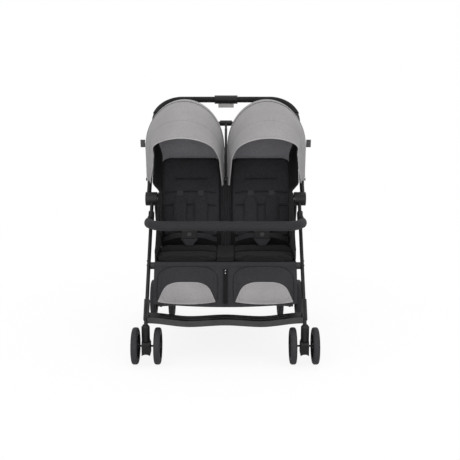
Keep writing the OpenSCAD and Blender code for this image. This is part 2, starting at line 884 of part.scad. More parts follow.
module back_board(side) {
    color(plastic_black) mirrored(side) difference() {
        union() {
            hinge_lugs(back_hinge, seat_x);
            on_back() translate([seat_x, (back_len + frame_tube_r) / 2, 0])
                linear_extrude(back_board_t, center = true)
                    rounded_face(back_w - 4 * back_edge, back_len - frame_tube_r - 4 * back_edge,
                        back_corner_r);
            for (end = [-1, 1])
                on_back() translate([seat_x + end * lug_spread, lug_arm / 2, 0])
                    cube([lug_arm_w, lug_arm, back_board_t], center = true);
        }
        cross_bar(back_hinge, rail_x, frame_tube_r + run_gap);
    }
}

// Back cushion with the two shoulder pads that lie on it
module back_pad(side) {
    length = back_len - back_pad_start;
    color(seat_black) mirrored(side) on_back() {
        translate([seat_x, back_pad_start + length / 2, back_board_t / 2 + seat_gap])
            cushion(back_w, length, back_edge, back_crown, back_round_share,
                back_channels_shares, back_channel_depth);
        for (end = [-1, 1])
            translate([seat_x + end * shoulder_pad_x,
                back_pad_start + shoulder_pad_low + shoulder_pad_l / 2,
                back_board_t / 2 + seat_gap + back_edge + back_crown + soft_gap])
                cushion(shoulder_pad_w, shoulder_pad_l, shoulder_pad_t / 2, shoulder_pad_t / 2,
                    shoulder_pad_round_share, [], 0);
    }
}

// One calf panel serves both seats
module calf_board() {
    color(calf_charcoal) {
        difference() {
            union() {
                both_sides() hinge_lugs(calf_hinge, seat_x);
                on_calf() translate([0, 0, -calf_board_t / 2]) linear_extrude(calf_board_t)
                    polygon(concat(
                        [[calf_half_w, frame_tube_r * 2], [-calf_half_w, frame_tube_r * 2]],
                        [for (i = [0:footrest_steps]) let (share = 2 * i / footrest_steps - 1)
                            [calf_half_w * share,
                                calf_len + calf_hem_drop * (1 - pow(share, 2))]]));
                both_sides() for (end = [-1, 1])
                    on_calf() translate([seat_x + end * lug_spread, lug_r, 0])
                        cube([lug_arm_w, 2 * lug_r, calf_board_t], center = true);
            }
            cross_bar(calf_hinge, rail_x, frame_tube_r + run_gap);
        }
        both_sides() on_calf()
            translate([calf_clip_x, calf_len, -calf_board_t / 2 - calf_clip_h - seat_gap])
                linear_extrude(calf_clip_h) stadium(calf_clip_h, calf_clip_w);
    }
}

module calf_pads() {
    length = calf_len - calf_pad_start;
    color(calf_charcoal) both_sides() on_calf()
        translate([calf_pad_x, calf_pad_start + length / 2,
            calf_board_t / 2 + seat_gap])
            cushion(calf_pad_w, length, calf_edge, calf_crown, calf_round_share, [], 0);
}

module calf_strip() {
    color(plastic_black) on_calf()
        translate([-strip_w / 2, calf_pad_start, calf_board_t / 2 + seat_gap]) {
            cube([strip_w, calf_len - calf_pad_start, strip_t]);
            for (i = [1, 2]) translate([strip_w / 2, i * strip_w, strip_t])
                cylinder(h = rivet_h, r = rivet_r);
        }
}

// Harness buckles on their crotch straps

module on_strap() {
    translate([seat_x, strap_y, seat_pad_z + seat_edge + seat_crown + soft_gap])
        rotate([-strap_lean, 0, 0]) children();
}

module crotch_straps() {
    color(seat_black) both_sides() difference() {
        on_strap() translate([0, strap_t / 2, 0]) rotate([90, 0, 0]) linear_extrude(strap_t)
            polygon([[-strap_w / 2, -strap_t], [strap_w / 2, -strap_t],
                [strap_top_w / 2, strap_l], [-strap_top_w / 2, strap_l]]);
        translate([0, seat_front_y, 0])
            cube([leg_x, -seat_front_y * 2, seat_pad_z + seat_edge + seat_crown + soft_gap]);
    }
}

module on_buckle() {
    on_strap() translate([0, 0, strap_l + seat_gap + buckle_h / 2]) rotate([90, 0, 0]) children();
}

module buckles() {
    color(plastic_black) both_sides() on_buckle() difference() {
        translate([0, 0, -buckle_t / 2]) linear_extrude(buckle_t)
            rounded_face(buckle_w, buckle_h, buckle_round);
        translate([0, 0, buckle_t / 2 - button_t])
            cylinder(h = button_t + overrun, r = button_r + run_gap);
    }
}

module buckle_button(side) {
    color(plastic_grey) mirrored(side) on_buckle()
        translate([0, 0, buckle_t / 2 - button_t + button_travel + soft_gap])
            cylinder(h = button_t, r = button_r);
}

// Bumper bar: padded tube between a hinged plug and a latched plug

module bar_plugs() {
    color(plastic_black) difference() {
        both_sides() translate([leg_x, plug_y, bar_z]) rotate([90, 0, 0])
            cylinder(h = plug_l - seat_gap, r = plug_r);
        translate([-leg_x, bar_pin_y, bar_z - bar_r])
            cylinder(h = 2 * bar_r, r = bar_pin_r + run_gap);
    }
}

module bumper_bar() {
    across = leg_x - bar_bend_r;
    straight = bar_reach - bar_bend_r;
    color(calf_charcoal) {
        both_sides() {
            translate([across + bar_bend_r, -straight, bar_z]) rotate([-90, 0, 0])
                cylinder(h = straight + bar_start_y, r = bar_r);
            translate([across, -straight, bar_z]) rotate([0, 0, -90])
                rotate_extrude(angle = 90) translate([bar_bend_r, 0]) circle(r = bar_r);
        }
        cross_bar([-bar_reach, bar_z], across, bar_r);
    }
}

module bar_receivers() {
    color(plastic_black) {
        both_sides() difference() {
            union() {
                leg_stretch(bar_z + receiver_half_h, bar_z - receiver_half_h, receiver_wall);
                for (z = [bar_z + fork_half, bar_z - fork_half - fork_t])
                    translate([leg_x - fork_w / 2, fork_front_y, z])
                        cube([fork_w, leg_y(bar_z) - fork_front_y, fork_t]);
            }
            leg_stretch(hub_z, leg_foot_z, seat_gap);
            translate([leg_x, bar_pin_y, bar_z - fork_half - fork_t - overrun])
                cylinder(h = 2 * (fork_half + fork_t + overrun), r = release_r + run_gap);
        }
        translate([-leg_x, bar_pin_y, bar_z - fork_half - fork_t])
            cylinder(h = 2 * (fork_half + fork_t), r = bar_pin_r);
        for (z = [bar_z + fork_half, bar_z - fork_half - fork_t])
            translate([-leg_x, bar_pin_y, z]) difference() {
                cylinder(h = fork_t, r = release_r);
                translate([0, 0, -overrun]) cylinder(h = fork_t + 2 * overrun, r = bar_pin_r);
            }
    }
}

// Press button under the latched end of the bar
module bar_release() {
    color(plastic_grey)
        translate([leg_x, bar_pin_y, bar_z - plug_r - release_travel - soft_gap - release_h])
            cylinder(h = release_h, r = release_r);
}

// Basket: an open tub hung from the seat rails

module basket_outline(inset) {
    low = basket_low_z + inset;
    front = basket_front_y + inset;
    rear = basket_rear_y - inset;
    radius = basket_floor_r - inset;
    hull() {
        translate([front + radius, low + radius]) circle(r = radius);
        translate([rear - radius, low + radius]) circle(r = radius);
        translate([front, basket_rim_front_z]) square([basket_wall, basket_wall]);
        translate([rear - basket_wall, basket_rim_rear_z]) square([basket_wall, basket_wall]);
    }
}

module basket() {
    strap_top = seat_frame_z - frame_tube_r - soft_gap;
    color(seat_black) {
        difference() {
            side_plate(-basket_half_w, 2 * basket_half_w) basket_outline(0);
            side_plate(-basket_half_w + basket_wall, 2 * (basket_half_w - basket_wall)) {
                basket_outline(basket_wall);
                translate([0, basket_wall]) basket_outline(basket_wall);
            }
        }
        both_sides() for (y = basket_strap_ys)
            translate([basket_half_w - basket_wall, y - basket_strap_w / 2,
                basket_rim_rear_z - basket_strap_w])
                cube([basket_wall, basket_strap_w,
                    strap_top - basket_rim_rear_z + basket_strap_w]);
    }
}

// Pleated cloth that closes the gap between the seat backs
module seat_gusset() {
    pleat = 2 * gusset_half_w / (2 * gusset_folds);
    zigzag = [for (i = [0:2 * gusset_folds])
        [-gusset_half_w + i * pleat, i % 2 == 0 ? 0 : -gusset_depth]];
    color(seat_black) on_back() translate([0, frame_tube_r + soft_gap, 0]) rotate([-90, 0, 0])
        linear_extrude(gusset_len)
            polygon(concat(zigzag, [for (p = reversed(zigzag)) [p[0], p[1] + gusset_t]]));
}

placed() front_leg(-1);  // front_leg_left
placed() front_leg(1);  // front_leg_right
placed() rear_leg(-1);  // rear_leg_left
placed() rear_leg(1);  // rear_leg_right
placed() push_handle();
placed() handle_grips();
placed() fold_housing();
placed() fold_lever();
placed() hood_post();
placed() hub_pins();
placed() hub_covers();
placed() hood_pins();
placed() hood_rear(-1);  // hood_rear_left
placed() hood_rear(1);  // hood_rear_right
placed() hood_front(-1);  // hood_front_left
placed() hood_front(1);  // hood_front_right
placed() footrest_bar();
placed() caster_sockets();
placed() caster(-1);  // caster_left
placed() caster(1);  // caster_right
placed() front_tyre(-1, 1);  // front_tyre_left_outer
placed() front_tyre(-1, -1);  // front_tyre_left_inner
placed() front_tyre(1, -1);  // front_tyre_right_inner
placed() front_tyre(1, 1);  // front_tyre_right_outer
placed() front_rim(-1, 1);  // front_rim_left_outer
placed() front_rim(-1, -1);  // front_rim_left_inner
placed() front_rim(1, -1);  // front_rim_right_inner
placed() front_rim(1, 1);  // front_rim_right_outer
placed() rear_tyre(-1, 1);  // rear_tyre_left_outer
placed() rear_tyre(-1, -1);  // rear_tyre_left_inner
placed() rear_tyre(1, -1);  // rear_tyre_right_inner
placed() rear_tyre(1, 1);  // rear_tyre_right_outer
placed() rear_rim(-1, 1);  // rear_rim_left_outer
placed() rear_rim(-1, -1);  // rear_rim_left_inner
placed() rear_rim(1, -1);  // rear_rim_right_inner
placed() rear_rim(1, 1);  // rear_rim_right_outer
placed() rear_axle();
placed() brake_pedal();
placed() seat_frame();
placed() seat_brackets();
placed() seat_boards();
placed() seat_pad(-1);  // seat_pad_left
placed() seat_pad(1);  // seat_pad_right
placed() calf_board();
placed() calf_pads();
placed() calf_strip();
placed() back_board(-1);  // back_board_left
placed() back_board(1);  // back_board_right
placed() back_pad(-1);  // back_pad_left
placed() back_pad(1);  // back_pad_right
placed() crotch_straps();
placed() buckles();
placed() buckle_button(-1);  // buckle_button_left
placed() buckle_button(1);  // buckle_button_right
placed() bumper_bar();
placed() bar_plugs();
placed() bar_receivers();
placed() bar_release();
placed() basket();
placed() seat_gusset();
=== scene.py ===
"""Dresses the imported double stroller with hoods, padding, harness, basket and finishes."""

import json
import math

import bmesh
import bpy
from bpy.props import FloatProperty, FloatVectorProperty, PointerProperty
from mathutils import Matrix, Vector, noise


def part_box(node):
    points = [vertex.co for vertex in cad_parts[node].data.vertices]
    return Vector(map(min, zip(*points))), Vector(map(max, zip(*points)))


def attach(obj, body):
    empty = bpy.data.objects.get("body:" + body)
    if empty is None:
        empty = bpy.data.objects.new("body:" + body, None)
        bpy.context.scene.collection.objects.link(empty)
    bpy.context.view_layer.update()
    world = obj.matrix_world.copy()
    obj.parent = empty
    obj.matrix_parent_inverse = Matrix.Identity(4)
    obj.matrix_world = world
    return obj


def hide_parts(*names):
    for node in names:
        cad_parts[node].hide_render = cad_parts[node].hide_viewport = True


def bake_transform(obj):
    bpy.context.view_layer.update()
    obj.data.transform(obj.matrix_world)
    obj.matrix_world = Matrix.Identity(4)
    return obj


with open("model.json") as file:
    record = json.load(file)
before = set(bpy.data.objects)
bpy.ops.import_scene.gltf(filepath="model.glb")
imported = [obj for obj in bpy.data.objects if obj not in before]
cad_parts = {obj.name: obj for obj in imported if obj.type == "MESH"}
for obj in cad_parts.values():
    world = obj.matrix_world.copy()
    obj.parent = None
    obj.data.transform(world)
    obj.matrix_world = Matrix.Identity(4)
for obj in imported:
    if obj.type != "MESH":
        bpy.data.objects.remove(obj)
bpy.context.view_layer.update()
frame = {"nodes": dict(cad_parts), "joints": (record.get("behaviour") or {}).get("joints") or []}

bl_info = {
    "name": "Double stroller",
    "version": (1, 0, 0),
    "blender": (4, 5, 0),
    "location": "View3D > Sidebar > Stroller",
    "description": "Builds the cloth, padding and finishes of a side by side double stroller",
    "category": "Object",
}

JOINTS = {joint["name"]: joint for joint in frame["joints"]}
SIDES = {"left": -1, "right": 1}
HOOD_PIVOT = Vector(JOINTS["hood_left_fold"]["pos_m"])
HUB = Vector(JOINTS["frame_fold"]["pos_m"])
BACK_HINGE = Vector(JOINTS["seat_back_left_recline"]["pos_m"])
CALF_HINGE = Vector(JOINTS["calf_raise"]["pos_m"])
MM = 0.001


def linear(code):
    """Linear RGB of an sRGB hex colour."""
    parts = [int(code[i:i + 2], 16) / 255 for i in (1, 3, 5)]
    return tuple(c / 12.92 if c <= 0.04045 else ((c + 0.055) / 1.055) ** 2.4 for c in parts)


def size(name, description, default):
    return FloatProperty(name=name, description=description, default=default, unit="LENGTH",
                         precision=4)


def angle(name, description, degrees):
    return FloatProperty(name=name, description=description, default=math.radians(degrees),
                         subtype="ANGLE")


def colour(name, description, code):
    return FloatVectorProperty(name=name, description=description, default=linear(code),
                               subtype="COLOR", size=3, min=0, max=1)


# Sizes and colours that a user would change


class HoodSizes(bpy.types.PropertyGroup):
    """Sizes of the two hoods."""

    radius: size("Radius", "From the pivot to the top of the front panel", 0.350)
    crown: size("Crown", "Height of the arched part of the cross-section", 0.205)
    tail: size("Tail", "Distance of the cloth's lower end from the pivot", 0.012)
    step: size("Step", "Distance between the front and the rear panel", 0.0024)
    cloth: size("Cloth", "Thickness of the lined cloth", 0.0019)
    sag: size("Sag", "How far the front panel sinks between its bows", 0.005)
    pinch: size("Pinch", "How far the mouth's outer side draws in", 0.0365)
    hem: size("Hem", "How far the front panel hangs below the pivot", 0.026)
    rear_angle: angle("Rear edge", "Angle of the rear edge above the rear horizontal", 49.6)
    seam_angle: angle("Seam", "Angle of the seam between the panels", 98)
    lap_angle: angle("Lap", "How far the front panel runs under the rear one", 3)
    visor_angle: angle("Visor", "Angle of the seam where the visor begins", 127)
    rim_angle: angle("Rim", "Angle of the front rim", 143)
    binding: size("Binding", "Radius of the bound edge", 0.0023)
    piping: size("Piping", "Radius of the piping along the seam", 0.0014)
    closure: size("Rear closure", "Lower edge of the rear's closing cloth, from the pivot", 0.262)
    tab: size("Tab", "Width of the plain cloth tab in the seam", 0.034)


class SeatSizes(bpy.types.PropertyGroup):
    """Sizes of the seats, backs and calf panel."""

    middle: size("Seat middle", "Distance of a seat's middle from the centre plane", 0.162)
    back_lean: angle("Back lean", "Lean of the seat back from the vertical", 16)
    back_width: size("Back width", "Width of a back cushion", 0.268)
    back_start: size("Back start", "Lower end of the back cushion above the hinge", 0.048)
    back_end: size("Back end", "Upper end of the back cushion above the hinge", 0.415)
    back_base: size("Back base", "Cushion's back face over the board's middle", 0.0026)
    back_thick: size("Back thickness", "Thickness of the back cushion before it swells", 0.0165)
    seat_width: size("Seat width", "Width of a seat cushion", 0.276)
    seat_thick: size("Seat thickness", "Thickness of a seat cushion before it swells", 0.0155)
    wing_reach: size("Wing reach", "How far the side wings come forward of the back", 0.130)
    wing_x: size("Wing place", "Outer face of a side wing, from the centre plane", 0.2946)
    wing_flare: size("Wing flare", "How far a wing's upper part spreads outwards", 0.0315)
    wing_top: size("Wing top", "Upper end of a side wing above the hinge", 0.500)
    side_x: size("Side wall", "Outer face of a seat's side wall, from the centre plane", 0.2968)
    curtain_top: size("Curtain top", "Upper edge of a back's curtain, above the hinge", 0.525)
    roll: size("Roll", "Radius of the cloth over the front tube", 0.0128)
    calf_slant: angle("Calf slant", "Slant of the calf panel from the vertical", 26)
    calf_width: size("Calf width", "Width of a calf pad", 0.268)
    calf_start: size("Calf start", "Upper end of the calf pads below the hinge", 0.003)
    calf_end: size("Calf end", "Lower end of the calf pads below the hinge", 0.172)
    piping: size("Piping", "Radius of the piping on the seats", 0.0016)


class HarnessSizes(bpy.types.PropertyGroup):
    """Sizes of the harness."""

    pad_width: size("Pad width", "Width of a shoulder pad", 0.069)
    pad_low: size("Pad low end", "Lower end of a shoulder pad above the back hinge", 0.093)
    pad_length: size("Pad length", "Length of a shoulder pad", 0.150)
    pad_spread: size("Pad spread", "Distance of a shoulder pad from the seat's middle", 0.048)
    pad_thick: size("Pad thickness", "Thickness of a shoulder pad before it swells", 0.0075)
    webbing: size("Webbing", "Width of the webbing", 0.025)
    webbing_thick: size("Webbing thickness", "Thickness of the webbing", 0.0016)


class BarSizes(bpy.types.PropertyGroup):
    """Sizes of the bumper bar's cover."""

    bend: size("Bend", "Bend radius of the bar's corners", 0.078)
    cap: size("End cap", "Length of the black end caps", 0.030)


class BasketSizes(bpy.types.PropertyGroup):
    """Sizes of the basket."""

    cloth: size("Cloth", "Thickness of the basket's cloth", 0.0016)
    bow: size("Bow", "How far the basket's floor bows up in the middle", 0.006)
    binding: size("Binding", "Radius of the bound rim", 0.0032)


class Palette(bpy.types.PropertyGroup):
    """Colours of the finishes."""

    hood: colour("Hood", "Heather cloth of the hoods", "#969495")
    hood_fleck: colour("Hood fleck", "Darker yarn in the hood cloth", "#7f7d7e")
    # painted light: the lining is lighter than its cloth, to stand for the light that shines
    # through the hood onto its inside
    lining: colour("Lining", "Lining of the hoods", "#8d8b90")
    binding: colour("Binding", "Tape on the hood's edges", "#a3a1a1")
    tab: colour("Tab", "Plain tabs in the hood's seams", "#4f4e50")
    seat: colour("Seat", "Black seat cloth", "#302f32")
    # painted shade: a darker copy of the black seat cloth, for the cushions under the bumper bar,
    # the side walls and the wings
    seat_side: colour("Seat side", "Deeper black of cushions, side walls and wings", "#121113")
    calf: colour("Calf", "Charcoal cloth of the calf panel", "#302f32")
    bar: colour("Bar", "Cloth of the bumper bar", "#2c2b2e")
    frame: colour("Frame", "Powder coat of the tubes", "#131315")
    moulding: colour("Moulding", "Black mouldings", "#0f0f11")
    grey: colour("Grey moulding", "Brackets, buttons and the footrest's lip", "#353536")
    lever: colour("Lever", "Fold lever", "#9a9997")
    tyre: colour("Tyre", "Foam tyres", "#2c2c2f")


class StageSizes(bpy.types.PropertyGroup):
    """Camera and light."""

    camera_x: size("Camera x", "Sideways place of the camera", 0.019)
    camera_y: size("Camera y", "Place of the camera in front of the stroller", -3.26)
    camera_z: size("Camera z", "Height of the camera", 1.20)
    camera_pitch: angle("Pitch", "How far the camera looks down", 12.3)
    lens: FloatProperty(name="Lens", description="Focal length in millimetres", default=58.7,
                        unit="CAMERA")


# Shaping tools


def settings(name):
    """The scene's values of a group, such as hood or seat."""
    return getattr(bpy.context.scene, f"stroller_{name}")


def smooth_step(t):
    t = min(max(t, 0.0), 1.0)
    return t * t * (3 - 2 * t)


def mix(a, b, t):
    return a + (b - a) * t


def spots(count, place, start=0.0, end=1.0):
    """The places at even steps of place(t), with t from start to end."""
    return [place(mix(start, end, i / count)) for i in range(count + 1)]


def linked(name, data):
    """A new object in the scene that shows the data."""
    made = bpy.data.objects.new(name, data)
    bpy.context.scene.collection.objects.link(made)
    return made


def shaped_grid(columns, rows, place):
    """A grid whose points, 0 to 1 across and along, are moved to place(u, v)."""
    bm = bmesh.new()
    bmesh.ops.create_grid(bm, x_segments=columns, y_segments=rows, size=0.5)
    for vert in bm.verts:
        vert.co = place(vert.co.x + 0.5, vert.co.y + 0.5)
    bmesh.ops.recalc_face_normals(bm, faces=bm.faces)
    return bm


def area_of(bm):
    return sum(face.calc_area() for face in bm.faces)


def thicken(bm, depth):
    """Gives a sheet its thickness, towards the side away from its normals."""
    bmesh.ops.solidify(bm, geom=bm.faces[:], thickness=depth)


def object_from(name, bm):
    """A new object with the mesh, which is used up."""
    mesh = bpy.data.meshes.new(name)
    bm.to_mesh(mesh)
    bm.free()
    return linked(name, mesh)


def dress(piece, body, slot, *finishes, crease=40):
    """Completes a new piece: smooth shading, its finishes, and the body it rides on."""
    piece.data.materials.clear()
    for name in finishes:
        piece.data.materials.append(finish(name))
    piece.data.polygons.foreach_set("use_smooth", [True] * len(piece.data.polygons))
    piece.data.set_sharp_from_angle(angle=math.radians(crease))
    if body:
        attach(piece, body)
    return piece


def finished_mesh(piece):
    """The piece's mesh with its modifiers applied."""
    graph = bpy.context.evaluated_depsgraph_get()
    return bpy.data.meshes.new_from_object(piece.evaluated_get(graph))


def apply_modifiers(piece):
    """Makes the modifiers' result the piece's own mesh."""
    mesh = finished_mesh(piece)
    piece.modifiers.clear()
    piece.data = mesh


def trim(name, points, radius, body, slot, cloth, closed=False, detail=3):
    """A round cord along points, such as piping; detail sets how round its section is."""
    curve = bpy.data.curves.new(name, "CURVE")
    curve.dimensions = "3D"
    curve.bevel_depth = radius
    curve.bevel_resolution = detail
    curve.use_fill_caps = True
    spline = curve.splines.new("POLY")
    spline.points.add(len(points) - 1)
    for spot, point in zip(spline.points, points):
        spot.co = (*point, 1)
    spline.use_cyclic_u = closed
    guide = linked(name, curve)
    bpy.context.view_layer.update()
    mesh = finished_mesh(guide)
    bpy.data.objects.remove(guide)
    bpy.data.curves.remove(curve)
    mesh.name = name
    return dress(linked(name, mesh), body, slot, cloth)


def strap(name, points, across, width, thick, body):
    """Flat webbing along points; across is the direction of its width."""
    count = len(points) - 1

    def place(u, v):
        at = v * count
        i = min(int(at), count - 1)
        return points[i].lerp(points[i + 1], at - i) + across * (u - 0.5) * width

    bm = shaped_grid(4, count * 2, place)
    thicken(bm, thick)
    return dress(object_from(name, bm), body, "seat_fabric", "webbing")


def curve_points(start, push_start, end, push_end, count=16):
    """A smooth curve that leaves start along push_start and arrives at end along push_end."""
    def place(t):
        a = (1 - t) ** 3
        b = 3 * t * (1 - t) ** 2
        c = 3 * t * t * (1 - t)
        return start * a + (start + push_start) * b + (end - push_end) * c + end * t ** 3

    return spots(count, place)


COVER = 0.0014  # thickness of most covers


def cover_sheet(name, grid, place, body, thick=COVER, slot="seat_fabric",
                cloth="side_cloth"):
    """A taut sewn cover: a shaped sheet with its thickness."""
    bm = shaped_grid(*grid, place)
    area = area_of(bm)
    thicken(bm, thick)
    bmesh.ops.recalc_face_normals(bm, faces=bm.faces)
    piece = dress(object_from(name, bm), body, slot, cloth)
    wide = max(spots(8, lambda v: (place(0, v) - place(1, v)).length))


def panel(hinge, lean, way):
    """Matrix of a hinged panel: x across, y along it, z out of its front face.
    Way is 1 for a panel that stands on its hinge and -1 for one that hangs from it."""
    along = Vector((0, math.sin(lean), math.cos(lean))) * way
    face = Vector((0, -math.cos(lean), math.sin(lean)))
    made = Matrix((Vector((way, 0, 0)), along, face)).transposed().to_4x4()
    made.translation = hinge
    return made


def back_matrix():
    """Panel of the seat backs, from their hinge upwards."""
    return panel(BACK_HINGE, settings("seat").back_lean, 1)


def calf_matrix():
    """Panel of the calf rest, from its hinge downwards."""
    return panel(CALF_HINGE, settings("seat").calf_slant, -1)


NEAR = (-0.018, 0.0, 0.018)  # a pad bridges the hollows of the cushion under it over this length
CUSHION_FACE = 0.02  # height that is taken where no cushion lies underneath


def surface_height(base, matrix, x, y, spread=NEAR):
    """Height of a piece's front face over a panel, at or near a place on that panel."""
    inverse = matrix.inverted()
    face = matrix.to_3x3() @ Vector((0, 0, 1))
    hits = []
    for shift in spread:
        above = matrix @ Vector((x, y + shift, 0.1))
        hit, spot, _, _ = base.ray_cast(above, -face, distance=0.2)
        if hit:
            hits.append((inverse @ spot).z)
    return max(hits) if hits else CUSHION_FACE


# Stuffed pads

SEAM_HOLD = 0.004  # a seam of this depth is held fully while the pad swells


def pad_outline(u, v, width, length, rounding, waist):
    """Rounded outline whose sides pull in between the corners; u and v run from -1 to 1."""
    x = width / 2 * u * math.sqrt(1 - rounding * v ** 6 / 2) * (1 - waist * (1 - v ** 4))
    y = length / 2 * v * math.sqrt(1 - rounding * u ** 6 / 2) * (1 - waist * (1 - u ** 4))
    return x, y


def calf_outline(u, v, width, length, *_):
    """Outline of a calf pad: wide round corners at the top, tight ones at the hem."""
    rounding, power = (0.667, 4) if v < 0 else (0.25, 6)
    x = width / 2 * u * math.sqrt(1 - rounding * v ** power / 2)
    y = length / 2 * v * math.sqrt(1 - rounding * u ** power / 2)
    return x, y


def pad_blank(width, length, thick, rounding, waist, crown, columns=36, rows=44,
              outline=pad_outline):
    """The flat-backed slab that a pad is stuffed from, lying on z = 0."""
    def place(u, v):
        return Vector((*outline(2 * u - 1, 2 * v - 1, width, length, rounding, waist), 0))

    bm = shaped_grid(columns, rows, place)
    lifted = bmesh.ops.extrude_face_region(bm, geom=bm.faces[:])["geom"]
    for vert in lifted:
        if isinstance(vert, bmesh.types.BMVert):
            u = 2 * vert.co.x / width
            v = 2 * vert.co.y / length
            vert.co.z = thick + crown * max(0, 1 - u ** 4) * max(0, 1 - v ** 4)
    bmesh.ops.recalc_face_normals(bm, faces=bm.faces)
    return bm


def sewn(base, seam=None):
    """How firmly a pad's points are held: fully below base, and along its seams."""
    def held(point):
        if point.z < base:
            return 1.0
        return min(1.0, seam(point.x, point.y) / SEAM_HOLD) if seam else 0.0

    return held


def swell(piece, held, cap, frames):
    """Blows the piece up with the cloth solver; no point moves further than cap."""
    rest = [vert.co.copy() for vert in piece.data.vertices]
    group = piece.vertex_groups.new(name="held")
    for i, point in enumerate(rest):
        weight = held(point)
        if weight > 0:
            group.add([i], weight, "REPLACE")
    cloth = piece.modifiers.new("Cloth", "CLOTH")
    cloth.settings.quality = 4
    cloth.settings.mass = 0.3
    cloth.settings.use_pressure = True
    cloth.settings.uniform_pressure_force = 4.0
    cloth.settings.effector_weights.gravity = 0
    cloth.settings.vertex_group_mass = "held"
    cloth.collision_settings.use_collision = False
    for number in range(1, frames + 1):
        bpy.context.scene.frame_set(number)
    swollen = finished_mesh(piece)
    piece.modifiers.clear()
    for vert, start, moved in zip(piece.data.vertices, rest, swollen.vertices):
        shift = moved.co - start
        vert.co = start + shift * min(1, cap / max(shift.length, 1e-9))
    bpy.data.meshes.remove(swollen)
    bpy.context.scene.frame_set(1)


def stuffed(bm, held, voxel=0.005, cap=0.008, frames=20):
    """A closed slab, evenly meshed, swollen and smoothed; held says where it is sewn down."""
    piece = object_from("stuffing", bm)
    remesh = piece.modifiers.new("Remesh", "REMESH")
    remesh.mode = "VOXEL"
    remesh.voxel_size = voxel
    apply_modifiers(piece)
    swell(piece, held, cap, frames)
    finer = piece.modifiers.new("Subdivision", "SUBSURF")
    finer.levels = finer.render_levels = 1
    apply_modifiers(piece)
    made = bmesh.new()
    made.from_mesh(piece.data)
    mesh = piece.data
    bpy.data.objects.remove(piece)
    bpy.data.meshes.remove(mesh)
    return made


def sink(bm, depth_at, limit):
    """Presses sewn lines into a pad above limit; depth_at(x, y) gives the depth there."""
    for vert in bm.verts:
        if vert.co.z > limit:
            vert.co.z -= depth_at(vert.co.x, vert.co.y)


def groove(distance, width):
    """Share of a seam's depth at a distance from its line."""
    return math.exp(-(distance / width) ** 2)


def mirrored(side):
    """Turns a piece of the right seat into one of the left."""
    return Matrix.Scale(side, 4, Vector((1, 0, 0)))


def pad_piece(name, pad, matrix, body, slot, cloth, node):
    """A copy of a stuffed pad, moved to its place, which stands for a node of the CAD."""
    bm = pad.copy()
    bmesh.ops.transform(bm, matrix=matrix, verts=bm.verts)
    if matrix.to_3x3().determinant() < 0:
        bmesh.ops.reverse_faces(bm, faces=bm.faces)
    cushion = dress(object_from(name, bm), body, slot, cloth)
    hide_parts(node)
    return cushion


# Materials

WAVE_PERIOD = math.tau / 20  # a wave texture of scale 1 repeats after this many metres
WHITE = (1, 1, 1, 1)


def feed(tree, node, inputs):
    """Sets or links a node's inputs."""
    for key, value in inputs.items():
        if isinstance(value, bpy.types.NodeSocket):
            tree.links.new(value, node.inputs[key])
        else:
            node.inputs[key].default_value = value


def add(tree, kind, inputs, output, **values):
    """Adds a shader node with its values and inputs, and gives the named output."""
    made = tree.nodes.new(f"ShaderNode{kind}")
    for key, value in values.items():
        setattr(made, key, value)
    feed(tree, made, inputs)
    return made.outputs[output]


def new_material(name):
    """A new material with its nodes, its shader and the place on the piece."""
    material = bpy.data.materials.new(name)
    material.use_nodes = True
    tree = material.node_tree
    place = add(tree, "TexCoord", {}, "Object")
    return material, tree, tree.nodes["Principled BSDF"], place


def tone(name, factor=1):
    """A colour of the palette, made darker or lighter."""
    return tuple(c * factor for c in getattr(settings("colours"), name))


def woven(name, base, fleck, thread_mm, fleck_mm, roughness, sheen, depth_mm, stretch=1):
    """Plain woven polyester: matt, with uneven yarn and a fine over-and-under relief.
    The threads are drawn coarser than life, because real ones are too fine to show."""
    material, tree, shader, place = new_material(name)
    grain = add(tree, "Mapping", {"Vector": place, "Scale": (1, 1, stretch)}, "Vector")
    yarn = add(tree, "TexNoise", {"Vector": grain, "Scale": 1 / (fleck_mm * MM), "Detail": 3,
                                  "Roughness": 0.65}, "Fac")
    spread = add(tree, "MapRange", {"Value": yarn, "From Min": 0.36, "From Max": 0.64}, "Result")
    patch = add(tree, "TexNoise", {"Vector": place, "Scale": 9, "Detail": 2}, "Fac")
    shade = add(tree, "MapRange", {"Value": patch, "From Min": 0.3, "From Max": 0.7,
                                   "To Min": 0.93, "To Max": 1.05}, "Result")
    mixed = add(tree, "Mix", {"Factor": spread, "A": (*tone(*fleck), 1), "B": (*tone(*base), 1)},
                "Result", data_type="RGBA")
    cloth = add(tree, "VectorMath", {0: mixed, 1: shade}, "Vector", operation="MULTIPLY")
    threads = {"Vector": place, "Scale": WAVE_PERIOD / (thread_mm * MM), "Distortion": 0.6}
    warp = add(tree, "TexWave", threads, "Fac", bands_direction="X")
    weft = add(tree, "TexWave", threads, "Fac", bands_direction="Z")
    weave = add(tree, "Math", {0: warp, 1: weft}, "Value", operation="MAXIMUM")
    relief = add(tree, "Bump", {"Height": weave, "Distance": depth_mm * MM, "Strength": 0.6},
                 "Normal")
    feed(tree, shader, {"Base Color": cloth, "Normal": relief, "Roughness": roughness,
                        "Sheen Weight": sheen, "Sheen Roughness": 0.5,
                        "Specular IOR Level": 0.15})
    return material


